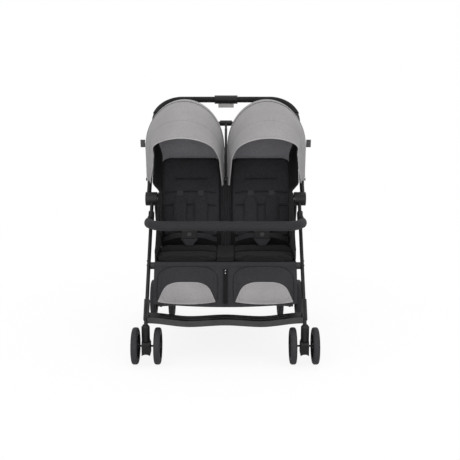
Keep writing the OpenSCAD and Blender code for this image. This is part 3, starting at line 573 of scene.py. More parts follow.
def moulded(name, base, grit_mm, roughness, depth_mm, wear=1.25, tread=None):
    """Injection-moulded nylon: satin, with a fine spark-eroded grain and faint scuffs.
    Faces that look upwards take the tread's colour, if there is one."""
    material, tree, shader, place = new_material(name)
    grain = add(tree, "TexNoise", {"Vector": place, "Scale": 1 / (grit_mm * MM), "Detail": 2},
                "Fac")
    scuff = add(tree, "TexNoise", {"Vector": place, "Scale": 14, "Detail": 5, "Roughness": 0.7},
                "Fac")
    spread = add(tree, "MapRange", {"Value": scuff, "From Min": 0.35, "From Max": 0.7,
                                    "To Min": 1 / wear, "To Max": wear}, "Result")
    skin = add(tree, "VectorMath", {0: tone(base), 1: spread}, "Vector", operation="MULTIPLY")
    if tread:
        facing = add(tree, "NewGeometry", {}, "Normal")
        rise = add(tree, "SeparateXYZ", {0: facing}, "Z")
        upper = add(tree, "MapRange", {"Value": rise, "From Min": 0.45, "From Max": 0.6}, "Result")
        shift = [t - b for t, b in zip(tone(*tread), tone(base))]
        part = add(tree, "VectorMath", {0: shift, 1: upper}, "Vector", operation="MULTIPLY")
        skin = add(tree, "VectorMath", {0: skin, 1: part}, "Vector", operation="ADD")
    gloss = add(tree, "MapRange", {"Value": scuff, "From Min": 0.3, "From Max": 0.75,
                                   "To Min": roughness - 0.06, "To Max": roughness + 0.1}, "Result")
    relief = add(tree, "Bump", {"Height": grain, "Distance": depth_mm * MM, "Strength": 0.5},
                 "Normal")
    feed(tree, shader, {"Base Color": skin, "Roughness": gloss, "Normal": relief, "IOR": 1.5,
                        "Specular IOR Level": 0.22})
    return material


def steel(name, code):
    """Zinc-plated steel: bright, finely brushed."""
    material, tree, shader, place = new_material(name)
    brush = add(tree, "TexNoise", {"Vector": place, "Scale": 500, "Detail": 2}, "Fac")
    gloss = add(tree, "MapRange", {"Value": brush, "To Min": 0.28, "To Max": 0.45}, "Result")
    feed(tree, shader, {"Roughness": gloss, "Base Color": (*linear(code), 1), "Metallic": 1.0})
    return material


# Each recipe: how it is made, the material's name, its colours from the palette with their
# factors, and then the sizes and values that its function names
RECIPES = {
    "hood_canvas": (woven, "heather polyester canvas", ("hood",), ("hood_fleck",), 3.0, 3.4, 0.9,
                    0.15, 0.3, 2.5),
    "hood_thread": (woven, "sewn hood seam", ("hood", 0.62), ("hood", 0.5), 3.0, 4.0, 0.9, 0.1,
                    0.2),
    # painted light: the lining's pale colour stands for light through the hood
    "hood_lining": (woven, "woven polyester lining", ("lining",), ("lining", 0.85), 4.0, 9.0, 0.85,
                    0.1, 0.2),
    "binding_tape": (woven, "woven binding tape", ("binding",), ("binding", 0.9), 3.0, 6.0, 0.85,
                     0.1, 0.2),
    "seat_cloth": (woven, "black oxford polyester", ("seat",), ("seat", 0.75), 4.0, 8.0, 0.85,
                   0.06, 0.35),
    "calf_cloth": (woven, "charcoal oxford polyester", ("calf",), ("calf", 0.8), 4.0, 8.0, 0.85,
                   0.06, 0.3),
    "bar_cloth": (woven, "charcoal bar cover", ("bar",), ("bar", 0.85), 4.0, 8.0, 0.8, 0.06, 0.3),
    # painted shade: the seat cloth darkened for the shaded cushions, walls and wings
    "side_cloth": (woven, "deep black oxford polyester", ("seat_side",), ("seat_side", 0.8), 4.0,
                   8.0, 0.85, 0.05, 0.35),
    "tab_cloth": (woven, "folded tab cloth", ("tab",), ("tab", 0.85), 3.0, 4.0, 0.85, 0.1, 0.2),
    "webbing": (woven, "polypropylene webbing", ("seat", 1.3), ("seat",), 3.0, 6.0, 0.6, 0.1, 0.5),
    "powder_coat": (moulded, "satin powder-coated steel", "frame", 1.6, 0.42, 0.08, 1.12),
    "nylon": (moulded, "black moulded nylon", "moulding", 1.2, 0.5, 0.1),
    "grey_nylon": (moulded, "grey moulded nylon", "grey", 1.2, 0.52, 0.1),
    "lever": (moulded, "light grey moulded ABS", "lever", 1.2, 0.4, 0.05, 1.05),
    "footrest": (moulded, "grey moulded nylon with a black tread", "grey", 1.2, 0.52, 0.1, 1.25,
                 ("moulding", 0.5)),
    "grip": (moulded, "closed-cell foam grip", "moulding", 2.4, 0.72, 0.25, 1.15),
    "tyre": (moulded, "moulded foam rubber tyre", "tyre", 2.0, 0.68, 0.12, 1.2),
    "steel": (steel, "zinc-plated steel", "#b9b9bb"),
}
_made = {}


def finish(name):
    """The named finish, made once."""
    if name not in _made:
        make, *values = RECIPES[name]
        _made[name] = make(*values)
    return _made[name]


# Hoods

HOOD_LOW, HOOD_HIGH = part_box("hood_front_right")
HOOD_MIDDLE = (HOOD_LOW.x + HOOD_HIGH.x) / 2
HOOD_HALF = (HOOD_HIGH.x - HOOD_LOW.x) / 2
WALL_PART = 0.2  # share of a cross-section in each of its straight walls
PINCH_TOP = 0.31  # distance from the pivot below which the mouth draws in
PINCH_FADE = 0.11  # distance over which it begins to
INNER_PINCH = 0.38  # the inner side draws in by this share of the outer side's pinch
HEM_REAR, HEM_FRONT = 0.010, -0.012  # ends of the hem, behind the pivot
REAR_SWELL = 0.001  # the rear panel rises between its bows by this much
SEAM_PROUD = 0.0014  # the seam's piping stands over the front panel by this much
CLOSURE_GAP = 0.001  # between the rear closure and the panel round it
CLOSURE_END = 0.12  # angle at each end of the arch that the closure leaves open
TAB_LOW, TAB_OUT, TAB_THICK = 0.146, 0.021, 0.003  # distance from the pivot, width, thickness
TAB_GAP = 0.0006  # between the tab and the panel


def hood_section(u, inset):
    """Radius and sideways place of a hood's cross-section: an arch on two straight walls."""
    sizes = settings("hood")
    half = HOOD_HALF - inset
    wall = sizes.radius - sizes.crown
    if u < WALL_PART:
        return mix(sizes.tail, wall, u / WALL_PART), HOOD_MIDDLE + half
    if u > 1 - WALL_PART:
        return mix(sizes.tail, wall, (1 - u) / WALL_PART), HOOD_MIDDLE - half
    turn = math.pi * (u - WALL_PART) / (1 - 2 * WALL_PART)
    return wall + (sizes.crown - inset) * math.sin(turn), HOOD_MIDDLE + half * math.cos(turn)


def hood_point(side, radius, x, theta):
    """A place given by its distance and angle round the hood's pivot; theta starts at the rear."""
    return Vector((side * x, HOOD_PIVOT.y + radius * math.cos(theta),
                   HOOD_PIVOT.z + radius * math.sin(theta)))


def hood_cloth(side, inset, start, end, sag, mouth):
    """A place on a hood's cloth between two bows, which sinks a little between them.
    The front panel, with the hood's mouth, draws in at the sides and hangs below the pivot."""
    sizes = settings("hood")
    wall = sizes.radius - sizes.crown

    def place(u, v):
        radius, x = hood_section(u, inset)
        theta = mix(start, end, v)
        if mouth:
            # the sides draw in from the crown down and let go again near the pivot
            foot = 0.35 + 0.65 * smooth_step(radius / 0.165)
            narrow = smooth_step((PINCH_TOP - radius) / PINCH_FADE) * foot
            pull = sizes.pinch * narrow * smooth_step((v - 0.25) / 0.75)
            x += INNER_PINCH * pull if u > 0.5 else -pull
            if radius < wall:
                low = Vector((side * x, HOOD_PIVOT.y + mix(HEM_REAR, HEM_FRONT, v),
                              HOOD_PIVOT.z - sizes.hem))
                rise = (radius - sizes.tail) / (wall - sizes.tail)
                return low.lerp(hood_point(side, wall, x, theta), rise)
        top = smooth_step((radius - sizes.tail) / sizes.radius)
        ripple = noise.noise(Vector((u * 9, v * 4, side * 3.1))) * 0.4
        radius -= sag * top * (math.sin(math.pi * v) * (1 + ripple))
        return hood_point(side, radius, x, theta)

    return place


def hood_sheet(name, side, start, place):
    """One lined cloth panel between two bows, with its inner faces in the second finish."""
    bm = shaped_grid(96, 30, place)
    area = area_of(bm)
    middle = hood_point(side, 0, HOOD_MIDDLE, start)

    def outward(face):
        return face.normal.dot(face.calc_center_median() - middle)

    if sum(outward(face) for face in bm.faces) < 0:
        bmesh.ops.reverse_faces(bm, faces=bm.faces)
    thicken(bm, settings("hood").cloth)
    for face in bm.faces:
        face.material_index = 0 if outward(face) > 0 else 1
    return object_from(name, bm), area


def hood_closure(name, side):
    """Flat cloth between the hood's rear edge and the top of the seat back."""
    sizes = settings("hood")
    theta = sizes.rear_angle + math.radians(0.2)

    def place(u, v):
        turn = mix(CLOSURE_END, math.pi - CLOSURE_END, u)
        top = sizes.radius - sizes.crown + (sizes.crown - CLOSURE_GAP) * math.sin(turn)
        low = min(sizes.closure, top - 0.002)
        slack = 0.003 * math.sin(math.pi * v) * noise.noise(Vector((u * 4, v * 2, side)))
        x = HOOD_MIDDLE + (HOOD_HALF - CLOSURE_GAP) * math.cos(turn)
        return hood_point(side, mix(low, top, v), x, theta + slack)

    bm = shaped_grid(48, 10, place)
    area = area_of(bm)
    thicken(bm, sizes.cloth)
    for face in bm.faces:
        face.material_index = 0 if face.normal.y > 0 else 1
    return object_from(name, bm), area


def hood_tab(name, side):
    """Plain folded tab sewn into the outer end of the seam."""
    sizes = settings("hood")
    x = HOOD_HIGH.x + sizes.step + TAB_GAP
    theta = sizes.seam_angle - math.radians(1.2)
    bm = bmesh.new()
    bmesh.ops.create_cube(bm, size=1)
    for vert in bm.verts:
        radius = mix(TAB_LOW, TAB_LOW + sizes.tab, vert.co.y + 0.5)
        out = mix(0, TAB_OUT, vert.co.x + 0.5)
        shift = Vector((0, vert.co.z * TAB_THICK, 0))
        vert.co = hood_point(side, radius, x + out, theta) + shift
    bmesh.ops.recalc_face_normals(bm, faces=bm.faces)
    bmesh.ops.bevel(bm, geom=bm.edges[:], offset=0.001, segments=2, profile=0.5, affect="EDGES",
                    material=-1)
    return object_from(name, bm)


def hood_edge(side, inset, theta):
    """Points along a bow, from the outer end over the top to the inner end."""
    def place(u):
        radius, x = hood_section(u, inset)
        return hood_point(side, radius, x, theta)

    return spots(72, place)


def make_hoods():
    """Lined panels with their bindings, seams, rear closure and tab, for each hood."""
    sizes = settings("hood")
    lap = sizes.seam_angle - sizes.lap_angle
    for name, side in SIDES.items():
        hood = f"hood_{name}"

        def front(inset):
            return hood_cloth(side, inset, lap, sizes.rim_angle, sizes.sag, True)

        rear = hood_cloth(side, -sizes.step, sizes.rear_angle, sizes.seam_angle, -REAR_SWELL,
                          False)
        for part, start, end, place, body in (
                ("front", lap, sizes.rim_angle, front(0.0), hood),
                ("rear", sizes.rear_angle, sizes.seam_angle, rear, "push_frame")):
            sheet, area = hood_sheet(f"hood_{part}_cloth_{name}", side, start, place)
            dress(sheet, body, "hood_fabric", "hood_canvas", "hood_lining")
            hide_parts(f"hood_{part}_{name}")
        cloth = front(sizes.binding - 0.0002)
        trim(f"hood_rim_binding_{name}", spots(96, lambda u: cloth(u, 1.0)), sizes.binding, hood,
             "hood_fabric", "binding_tape")
        trim(f"hood_back_binding_{name}", hood_edge(side, -sizes.step, sizes.rear_angle),
             sizes.binding * 0.8, "push_frame", "hood_fabric", "hood_canvas")
        cloth = front(0.0006)
        line = (sizes.visor_angle - lap) / (sizes.rim_angle - lap)
        trim(f"hood_visor_seam_{name}", spots(64, lambda u: cloth(u, line), 0.205, 0.795),
             sizes.piping * 0.65, hood, "hood_fabric", "hood_thread")
        closure, area = hood_closure(f"hood_rear_closure_{name}", side)
        dress(closure, "push_frame", "hood_fabric", "hood_canvas", "hood_lining")
        dress(hood_tab(f"hood_tab_{name}", side), "push_frame", "hood_fabric", "tab_cloth")
        trim(f"hood_seam_piping_{name}", hood_edge(side, -SEAM_PROUD, sizes.seam_angle),
             sizes.piping * 0.75, "push_frame", "hood_fabric", "hood_canvas")


def make_hood_gap():
    """Black cloth behind the post, between the two hoods."""
    lean = math.atan2(HOOD_PIVOT.z - HUB.z, HOOD_PIVOT.y - HUB.y)
    along = Vector((0, math.cos(lean), math.sin(lean)))
    behind = Vector((0, 0.006, -0.006))
    half, low, high = 0.0060, 0.118, 0.405

    def place(u, v):
        spot = HUB + along * mix(low, high, v) + behind
        return Vector((mix(-half, half, u), spot.y, spot.z))

    cover_sheet("hood_gap_cloth", (8, 40), place, "push_frame", thick=0.0012)


# Seat backs

BACK_SEAMS = ((0.395, 1.0), (0.56, 1.0), (0.725, 0.62))  # height and length of the seams, as shares
BACK_SEAM_DEPTH, BACK_SEAM_WIDTH = 0.0056, 0.0050
SWELL_ROOM = 0.004  # the cushion's blank is smaller than the cushion by this much
CHANNEL_SHADE_CORD = 0.0012  # radius of the dark cords that paint the shade in the sewn channels
COVER_BACK, CURTAIN_BACK = -0.0125, -0.0150  # height of these sheets over the board's middle
SKIRT_FRONT = 0.0078


def back_seam_line(share_up, x):
    """Height of a seam above the cushion's middle; it rises towards the seat's middle."""
    sizes = settings("seat")
    arch = 0.006 * (1 - (2 * x / sizes.back_width) ** 2)
    return (share_up - 0.5) * (sizes.back_end - sizes.back_start) + arch


def back_seam_depth(x, y):
    """Sewn channels across the back cushion; y runs from the cushion's middle."""
    half = settings("seat").back_width / 2
    edge = smooth_step((half - abs(x)) / 0.02)
    depth = 0.0
    for share_up, half_run in BACK_SEAMS:
        line = back_seam_line(share_up, x)
        run = smooth_step((half_run * half - abs(x)) / 0.012) if half_run < 1 else edge
        depth += BACK_SEAM_DEPTH * groove(y - line, BACK_SEAM_WIDTH) * run
    return depth


def make_back_cushions():
    """Stuffed back cushions with a dark cord in each sewn channel, which paints the shade of its
    groove.
    """
    sizes = settings("seat")
    length = sizes.back_end - sizes.back_start
    blank = pad_blank(sizes.back_width - SWELL_ROOM, length - SWELL_ROOM,
                      sizes.back_thick - SWELL_ROOM, 0.30, 0.01, 0.003)
    pad = stuffed(blank, sewn(0.004, back_seam_depth), cap=0.007)
    sink(pad, back_seam_depth, limit=0.008)
    middle = (sizes.back_start + sizes.back_end) / 2
    matrix = back_matrix()
    for name, side in SIDES.items():
        body = f"seat_back_{name}"
        shift = Matrix.Translation((side * sizes.middle, middle, sizes.back_base))
        cushion = pad_piece(f"back_cushion_{name}", pad, matrix @ shift @ mirrored(side), body,
                            "seat_fabric", "seat_cloth", f"back_pad_{name}")
        bpy.context.view_layer.update()
        for number, (share_up, half_run) in enumerate(BACK_SEAMS, 1):
            def shade_line(x):
                spot = Vector((side * sizes.middle + x, middle + back_seam_line(share_up, x), 0))
                spot.z = surface_height(cushion, matrix, spot.x, spot.y, (0.0,)) + 0.0002
                return matrix @ spot

            reach = sizes.back_width / 2 * half_run - 0.016
            # a dark cord in the darkened black cloth paints the shade in the channel
            trim(f"back_seam_{name}_{number}", spots(48, shade_line, -reach, reach), CHANNEL_SHADE_CORD, body,
                 "seat_fabric", "side_cloth")
    pad.free()


def make_back_covers():
    """Black cloth behind the cushions, side wings, and the lined curtain above each back."""
    sizes = settings("seat")
    matrix = back_matrix()
    top = sizes.back_end + 0.002
    corner = 0.035
    wing_foot, flare_from, fan_from = 0.055, 0.238, 0.425
    for name, side in SIDES.items():
        body, board, cover = f"seat_back_{name}", f"back_board_{name}", f"back_cover_{name}"

        def on_back(x, along, out):
            return matrix @ Vector((side * x, along, out))

        def shell(u, v):
            along = mix(0.0, top, v)
            over = max(0.0, along - (top - corner)) / corner
            cut_in = corner * (1 - math.sqrt(max(0.0, 1 - over * over)))
            x = mix(0.0140 + cut_in, sizes.wing_x + 0.0026 - cut_in, u)
            return on_back(x, along, COVER_BACK)

        def skirt(u, v):
            soft = 0.0012 * noise.noise(Vector((u * 7, v * 2, 2.2 * side)))
            x = mix(0.0250, sizes.wing_x - 0.004, u)
            return on_back(x, mix(0.009, 0.066, v), SKIRT_FRONT + soft)

        def wing(u, v):
            # narrow at the foot, wide in the middle, and spread outwards at the top
            along = mix(wing_foot, sizes.wing_top, v)
            flare = smooth_step((along - flare_from) / 0.05)
            bow = 0.62 + 0.38 * math.sin(math.pi * min(1, v * 1.25)) - 0.30 * v ** 4
            belly = 0.003 * math.sin(math.pi * u) * math.sin(math.pi * v)
            ripple = 0.0012 * abs(noise.noise(Vector((u * 3.0, v * 7.0, side * 2.0))))
            x = sizes.wing_x - 0.0018 - (belly + ripple) * (1 - flare)
            x += sizes.wing_flare * flare * smooth_step(u)
            x += 0.020 * smooth_step((along - fan_from) / 0.075) * (1 - smooth_step(u))
            return on_back(x, along, mix(-0.0110, sizes.wing_reach * bow, u))

        def curtain(u, v):
            x = mix(0.0165, sizes.wing_x + 0.006 + 0.018 * v, u)
            edge = sizes.curtain_top - 0.014 * (1 - smooth_step(min(u, 1 - u) / 0.08))
            hollow = 0.010 * math.sin(math.pi * u) * v
            soft = 0.0022 * noise.noise(Vector((u * 4, v * 3, 5.3 * side)))
            along = mix(sizes.back_end - 0.03, edge, v)
            return on_back(x, along, CURTAIN_BACK - hollow + soft * v)

        cover_sheet(cover, (40, 48), shell, body, cloth="seat_cloth")
        cover_sheet(f"back_skirt_{name}", (40, 10), skirt, body)
        cover_sheet(f"seat_wing_{name}", (28, 48), wing, body, thick=0.0016)
        trim(f"seat_wing_binding_{name}", spots(48, lambda v: wing(1.0, v)), sizes.piping * 0.8,
             body, "seat_fabric", "webbing")
        cover_sheet(f"back_curtain_{name}", (40, 20), curtain, body, thick=0.0012,
                    slot="hood_fabric", cloth="hood_lining")


# Seat cushions and the cloth round them

SEAT_LOW, SEAT_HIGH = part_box("seat_pad_right")
SEAT_SEAM_DEPTH, SEAT_SEAM_WIDTH = 0.004, 0.0045
ROLL_CLEAR, ROLL_REACH = 0.0018, 0.036  # room over the turning roll, and how far back it goes


def make_seat_cushions():
    """Stuffed seat cushions, each with one sewn line across."""
    sizes = settings("seat")
    length = SEAT_HIGH.y - SEAT_LOW.y
    blank = pad_blank(sizes.seat_width - 0.018, length - 0.012, sizes.seat_thick - 0.006, 0.4,
                      0.015, 0.004)

    def seam(x, y):
        edge = smooth_step((sizes.seat_width / 2 - abs(x)) / 0.02)
        return SEAT_SEAM_DEPTH * groove(y, SEAT_SEAM_WIDTH) * edge

    pad = stuffed(blank, sewn(0.003, seam), cap=0.006)
    sink(pad, seam, limit=0.006)
    for vert in pad.verts:
        front = smooth_step((ROLL_REACH - length / 2 - vert.co.y) / 0.010)
        vert.co.z = max(vert.co.z, 0.0004 + ROLL_CLEAR * front)
    middle = (SEAT_LOW.y + SEAT_HIGH.y) / 2
    for name, side in SIDES.items():
        shift = Matrix.Translation((side * sizes.middle, middle, SEAT_LOW.z + 0.0005))
        pad_piece(f"seat_cushion_{name}", pad, shift @ mirrored(side), "front_frame",
                  # the cushions take the darker copy of the seat cloth, which paints the shade
                  # under the bumper bar
                  "seat_fabric", "side_cloth", f"seat_pad_{name}")
    pad.free()


def make_seat_bridge():
    """Cloth that joins the two seat cushions."""
    def place(u, v):
        x = mix(-1, 1, u) * (SEAT_LOW.x + 0.009)
        rise = mix(0.0068, 0.0150, smooth_step(8 * v)) - 0.010 * smooth_step((v - 0.85) / 0.15)
        z = SEAT_LOW.z + rise - 0.002 * math.cos(math.pi * (u - 0.5)) ** 2
        return Vector((x, mix(SEAT_LOW.y + 0.005, SEAT_HIGH.y + 0.004, v), z))

    cover_sheet("seat_bridge", (20, 60), place, "front_frame")


def make_seat_apron():
    """Cloth under the cushions' front edge, behind the turning roll."""
    half, y, low, high = 0.2835, -0.1993, 0.3800, 0.4020

    def place(u, v):
        return Vector((mix(-half, half, u), y, mix(low, high, v)))

    cover_sheet("seat_apron", (40, 6), place, "front_frame", thick=0.0010)


def make_side_walls():
    """Cloth walls from the seat's sides up towards the fold hubs."""
    x = settings("seat").side_x - 0.0004
    front, rear, low = -0.2035, 0.094, 0.3940
    front_top, hub_top, rear_drop = 0.448, 0.672, 0.044
    for name, side in SIDES.items():
        def wall(u, v):
            top = mix(front_top, hub_top, smooth_step(u * 1.28))
            z = mix(low, top - rear_drop * smooth_step((u - 0.64) / 0.20), v)
            y = mix(front, rear, u) + 0.2867 * (z - 0.40) * smooth_step((u - 0.6) / 0.4)
            soft = 0.0010 * abs(noise.noise(Vector((u * 6, v * 4, 1.7 * side))))
            return Vector((side * (x - soft), y, z))

        cover_sheet(f"side_wall_{name}", (48, 24), wall, "front_frame")
        trim(f"side_wall_binding_{name}", spots(40, lambda u: wall(u, 1.0)), 0.0012, "front_frame",
             "seat_fabric", "side_cloth")


def make_front_roll():
    """Cloth that turns with the calf panel: round the front tube, then down onto the pads."""
    sizes = settings("seat")
    matrix = calf_matrix()
    half = sizes.side_x + 0.0007
    tangent = math.pi / 2 - sizes.calf_slant
    bent = 0.55  # share of the cloth that lies round the tube
    drop, pad_face = 0.019, 0.0030  # where the cloth ends on the calf pads

    def roll(u, v):
        x = mix(half, -half, u)
        if v < bent:
            turn = mix(math.radians(10), tangent, v / bent) - tangent
            return matrix @ Vector((x, sizes.roll * math.sin(turn), sizes.roll * math.cos(turn)))
        t = (v - bent) / (1 - bent)
        return matrix @ Vector((x, drop * t, mix(sizes.roll, pad_face, smooth_step(t * 1.1))))

    cover_sheet("front_roll", (120, 32), roll, "calf_rest", thick=0.0008,
                slot="calf_fabric", cloth="calf_cloth")


def make_gusset():
    """Pleated cloth between the two backs, in soft folds."""
    low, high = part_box("seat_gusset")
    half = (high.x - low.x) / 2
    matrix = back_matrix()
    folds, start, end = 4, 0.0085, 0.395
    middle, fold_depth = -0.0030, 0.0042

    def place(u, v):
        slack = 0.0012 * noise.noise(Vector((u * 5, v * 6, 0.4)))
        depth = middle + fold_depth * math.cos(math.tau * folds * u) + slack
        return matrix @ Vector(((u - 0.5) * 2 * half, mix(start, end, v), depth))

    bm = shaped_grid(96, 56, place)
    area = area_of(bm)
    thicken(bm, COVER)
    cloth = dress(object_from("seat_gusset_cloth", bm), "front_frame", "seat_fabric", "seat_cloth")
    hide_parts("seat_gusset")


# Harness

PAD_ROUNDING, PAD_WAIST = 0.75, 0.02
PAD_SINK = 0.0012  # how far a shoulder pad presses into the cushion
PIPING_RISE = 0.0045  # height of its piping over its back face
PIPING_IN = 0.004  # the piping's outline is smaller than the pad's by this much
BOTH_WAYS = (("outer", 1), ("inner", -1))
ACROSS = Vector((1, 0, 0))


def pad_ring(width, length):
    """The outline of a shoulder pad as a closed ring of points."""
    ring = []
    for i in range(72):
        turn = math.tau * i / 72
        u, v = (math.copysign(abs(c) ** 0.5, c) for c in (math.cos(turn), math.sin(turn)))
        ring.append(pad_outline(u, v, width, length, PAD_ROUNDING, PAD_WAIST))
    return ring


def make_shoulder_pads():
    """Piped shoulder pads that lie on the back cushions, with webbing above them."""
    seat = settings("seat")
    sizes = settings("harness")
    width, length = sizes.pad_width, sizes.pad_length
    blank = pad_blank(width - 0.006, length - 0.006, sizes.pad_thick * 0.55, PAD_ROUNDING,
                      PAD_WAIST, sizes.pad_thick * 0.3, columns=18, rows=28)
    pad = stuffed(blank, sewn(0.0008), voxel=0.004, cap=0.004, frames=12)
    middle = sizes.pad_low + length / 2
    matrix = back_matrix()
    bpy.context.view_layer.update()
    for name, side in SIDES.items():
        body = f"seat_back_{name}"
        cushion = bpy.data.objects[f"back_cushion_{name}"]
        for step, way in BOTH_WAYS:
            x = side * (seat.middle + way * sizes.pad_spread)

            def lay(point):
                spot = Vector((x + point.x, middle + point.y, 0))
                spot.z = surface_height(cushion, matrix, spot.x, spot.y) - PAD_SINK + point.z
                return matrix @ spot

            bm = pad.copy()
            for vert in bm.verts:
                vert.co = lay(vert.co)
            piece = dress(object_from(f"shoulder_pad_{name}_{step}", bm), body, "seat_fabric",
                          "seat_cloth")
            ring = pad_ring(width - PIPING_IN, length - PIPING_IN)
            trim(f"shoulder_pad_piping_{name}_{step}",
                 [lay(Vector((*spot, PIPING_RISE))) for spot in ring], seat.piping * 0.8, body,
                 "calf_fabric", "calf_cloth", closed=True)
            top = lay(Vector((0, length / 2 - 0.012, 0.004)))
            end = lay(Vector((0, length / 2 + 0.034, -0.0030)))
            up = (end - top) * 0.4
            strap(f"shoulder_strap_{name}_{step}", curve_points(top, up, end, up), ACROSS,
                  sizes.webbing, sizes.webbing_thick, body)
    pad.free()


def make_lap_straps():
    """Webbing from the seat's sides and the shoulder pads to each buckle."""
    seat = settings("seat")
    sizes = settings("harness")
    low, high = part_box("buckles")
    buckle_y = (low.y + high.y) / 2
    buckle_z = (low.z + high.z) / 2
    half = high.x - seat.middle
    upright = Vector((0, -0.35, 0.937))
    matrix = back_matrix()
    for name, side in SIDES.items():
        for step, way in BOTH_WAYS:
            def spot(out, y, z):
                return Vector((side * (seat.middle + way * out), y, z))

            anchor = spot(seat.seat_width / 2 - 0.018, buckle_y + 0.055, SEAT_HIGH.z + 0.012)
            points = curve_points(spot(half, buckle_y, buckle_z),
                                  Vector((side * way * 0.03, 0.0, 0.004)), anchor,
                                  Vector((side * way * 0.02, 0.03, -0.012)))
            strap(f"waist_strap_{name}_{step}", points, upright, sizes.webbing,
                  sizes.webbing_thick, "front_frame")
            top = matrix @ spot(sizes.pad_spread, sizes.pad_low + 0.008, seat.back_base + 0.026)
            ear = spot(half * 0.7, buckle_y + 0.004, high.z - 0.004)
            points = curve_points(top, Vector((0, 0.006, -0.05)), ear, Vector((0, -0.03, -0.02)))
            piece = strap(f"harness_strap_{name}_{step}", points, ACROSS, sizes.webbing * 0.9,
                          sizes.webbing_thick, None)
            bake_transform(piece)


def make_crotch_pads():
    """Padded covers on the crotch straps, wide under the buckle and narrow at the seat."""
    seat = settings("seat")
    low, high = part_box("crotch_straps")
    length = math.hypot(high.y - low.y, high.z - low.z) + 0.004
    lean, width, foot_share = math.radians(35), 0.084, 0.43
    blank = pad_blank(width, length, 0.005, 0.5, 0.0, 0.003, columns=20, rows=20)
    for vert in blank.verts:
        vert.co.x *= mix(foot_share, 1.0, smooth_step(vert.co.y / length + 0.5))
    pad = stuffed(blank, sewn(0.001), voxel=0.004, cap=0.003, frames=10)
    for name, side in SIDES.items():
        foot = Vector((side * seat.middle, low.y + 0.004, low.z + 0.001))
        matrix = panel(foot, lean, 1) @ Matrix.Translation((0, length / 2, -0.004))
        pad_piece(f"crotch_pad_{name}", pad, matrix, "front_frame", "seat_fabric", "seat_cloth",
                  "crotch_straps")
    pad.free()


# Calf panel

RIVETS = (0.0265, 0.0385)  # places of the strip's rivets below the hinge
OVER_PAD = 0.03  # height from which a seam or an inset is laid onto a calf pad
INSET_TOP, INSET_LOW, INSET_BULGE = 0.0775, 0.1575, 0.0095  # below the hinge, and the hem's sag
INSET_SHIFT = 0.003  # the insets sit this much further out than the pads' middles


def inset_point(u, v, half, top, bottom, bulge):
    """A place on the pale inset: a wide foot, round shoulders, and a hem that hangs a little."""
    wide = half * (1 - 0.29 * v - 0.23 * v ** 6)
    x = mix(-1, 1, u)
    foot = bottom + bulge * (1 - x * x) * (1 - v)
    return Vector((x * wide, mix(foot, top, v) + 0.004 * x ** 4 * v ** 6, OVER_PAD))


def make_calf_panel():
    """Calf pads with their pale insets and seams, and the rivets of the centre strip."""
    sizes = settings("seat")
    length = sizes.calf_end - sizes.calf_start
    middle = (sizes.calf_start + sizes.calf_end) / 2
    pad_x = sizes.middle - (sizes.seat_width - sizes.calf_width) / 2
    blank = pad_blank(sizes.calf_width - 0.008, length - 0.004, 0.0035, 0, 0, 0.003,
                      outline=calf_outline)
    pad = stuffed(blank, sewn(0.001), cap=0.0050)
    for vert in pad.verts:
        vert.co.z += 0.0070 * smooth_step((0.034 - middle - vert.co.y) / 0.031)
    form = (sizes.calf_width * 0.444, INSET_TOP - middle, INSET_LOW - middle, INSET_BULGE)
    outline = spots(24, lambda v: inset_point(0, v, *form))
    outline += spots(24, lambda u: inset_point(u, 1, *form))[1:-1]
    outline += spots(24, lambda v: inset_point(1, v, *form), 1, 0)
    outline += spots(40, lambda u: inset_point(u, 0, *form), 1, 0)[1:-1]
    sewn_size = (sizes.calf_width - 0.016, length - 0.012)
    edge = spots(60, lambda u: calf_outline(u, -1, *sewn_size), -1, 1)
    down = spots(40, lambda v: calf_outline(1, v, *sewn_size), -1, 0.9)[1:]
    seam = [(-x, y) for x, y in reversed(down)] + edge + down
    face = calf_matrix().to_3x3() @ Vector((0, 0, 1))
    for name, side in SIDES.items():
        matrix = calf_matrix() @ Matrix.Translation((-side * pad_x, middle, 0.0027))
        cushion = pad_piece(f"calf_cushion_{name}", pad, matrix @ mirrored(side), "calf_rest",
                            "calf_fabric", "calf_cloth", "calf_pads")
        bpy.context.view_layer.update()
        shift = Vector((-side * INSET_SHIFT, 0, 0))

        def on_pad(spot):
            start = matrix @ spot
            hit, place, _, _ = cushion.ray_cast(start, -face, distance=0.06)
            return (place if hit else start - face * 0.024) + face * 0.0006

        patch = shaped_grid(72, 40, lambda u, v: on_pad(inset_point(u, v, *form) + shift))
        for part in patch.faces:
            if part.normal.dot(face) < 0:
                part.normal_flip()
        thicken(patch, 0.0008)
        dress(object_from(f"calf_inset_{name}", patch), "calf_rest", "hood_fabric", "hood_canvas")
        trim(f"calf_inset_piping_{name}", [on_pad(spot + shift) for spot in outline], 0.0011,
             "calf_rest", "hood_fabric", "binding_tape", closed=True)
        trim(f"calf_seam_{name}", [on_pad(Vector((x, y, OVER_PAD))) for x, y in seam], 0.0009,
             "calf_rest", "calf_fabric", "side_cloth")
    pad.free()
    bm = bmesh.new()
    flat = Matrix.Scale(0.45, 4, Vector((0, 0, 1)))
    for along in RIVETS:
        spot = calf_matrix() @ Matrix.Translation((0, along, 0.0119)) @ flat
        bmesh.ops.create_uvsphere(bm, u_segments=20, v_segments=10, radius=0.0022, matrix=spot)
    dress(object_from("strip_rivets", bm), "calf_rest", "steel", "steel")


# Bumper bar

BEND_STEPS, FRONT_STEPS = 14, 24
BAR_DETAIL = 14  # roundness of the bar's section


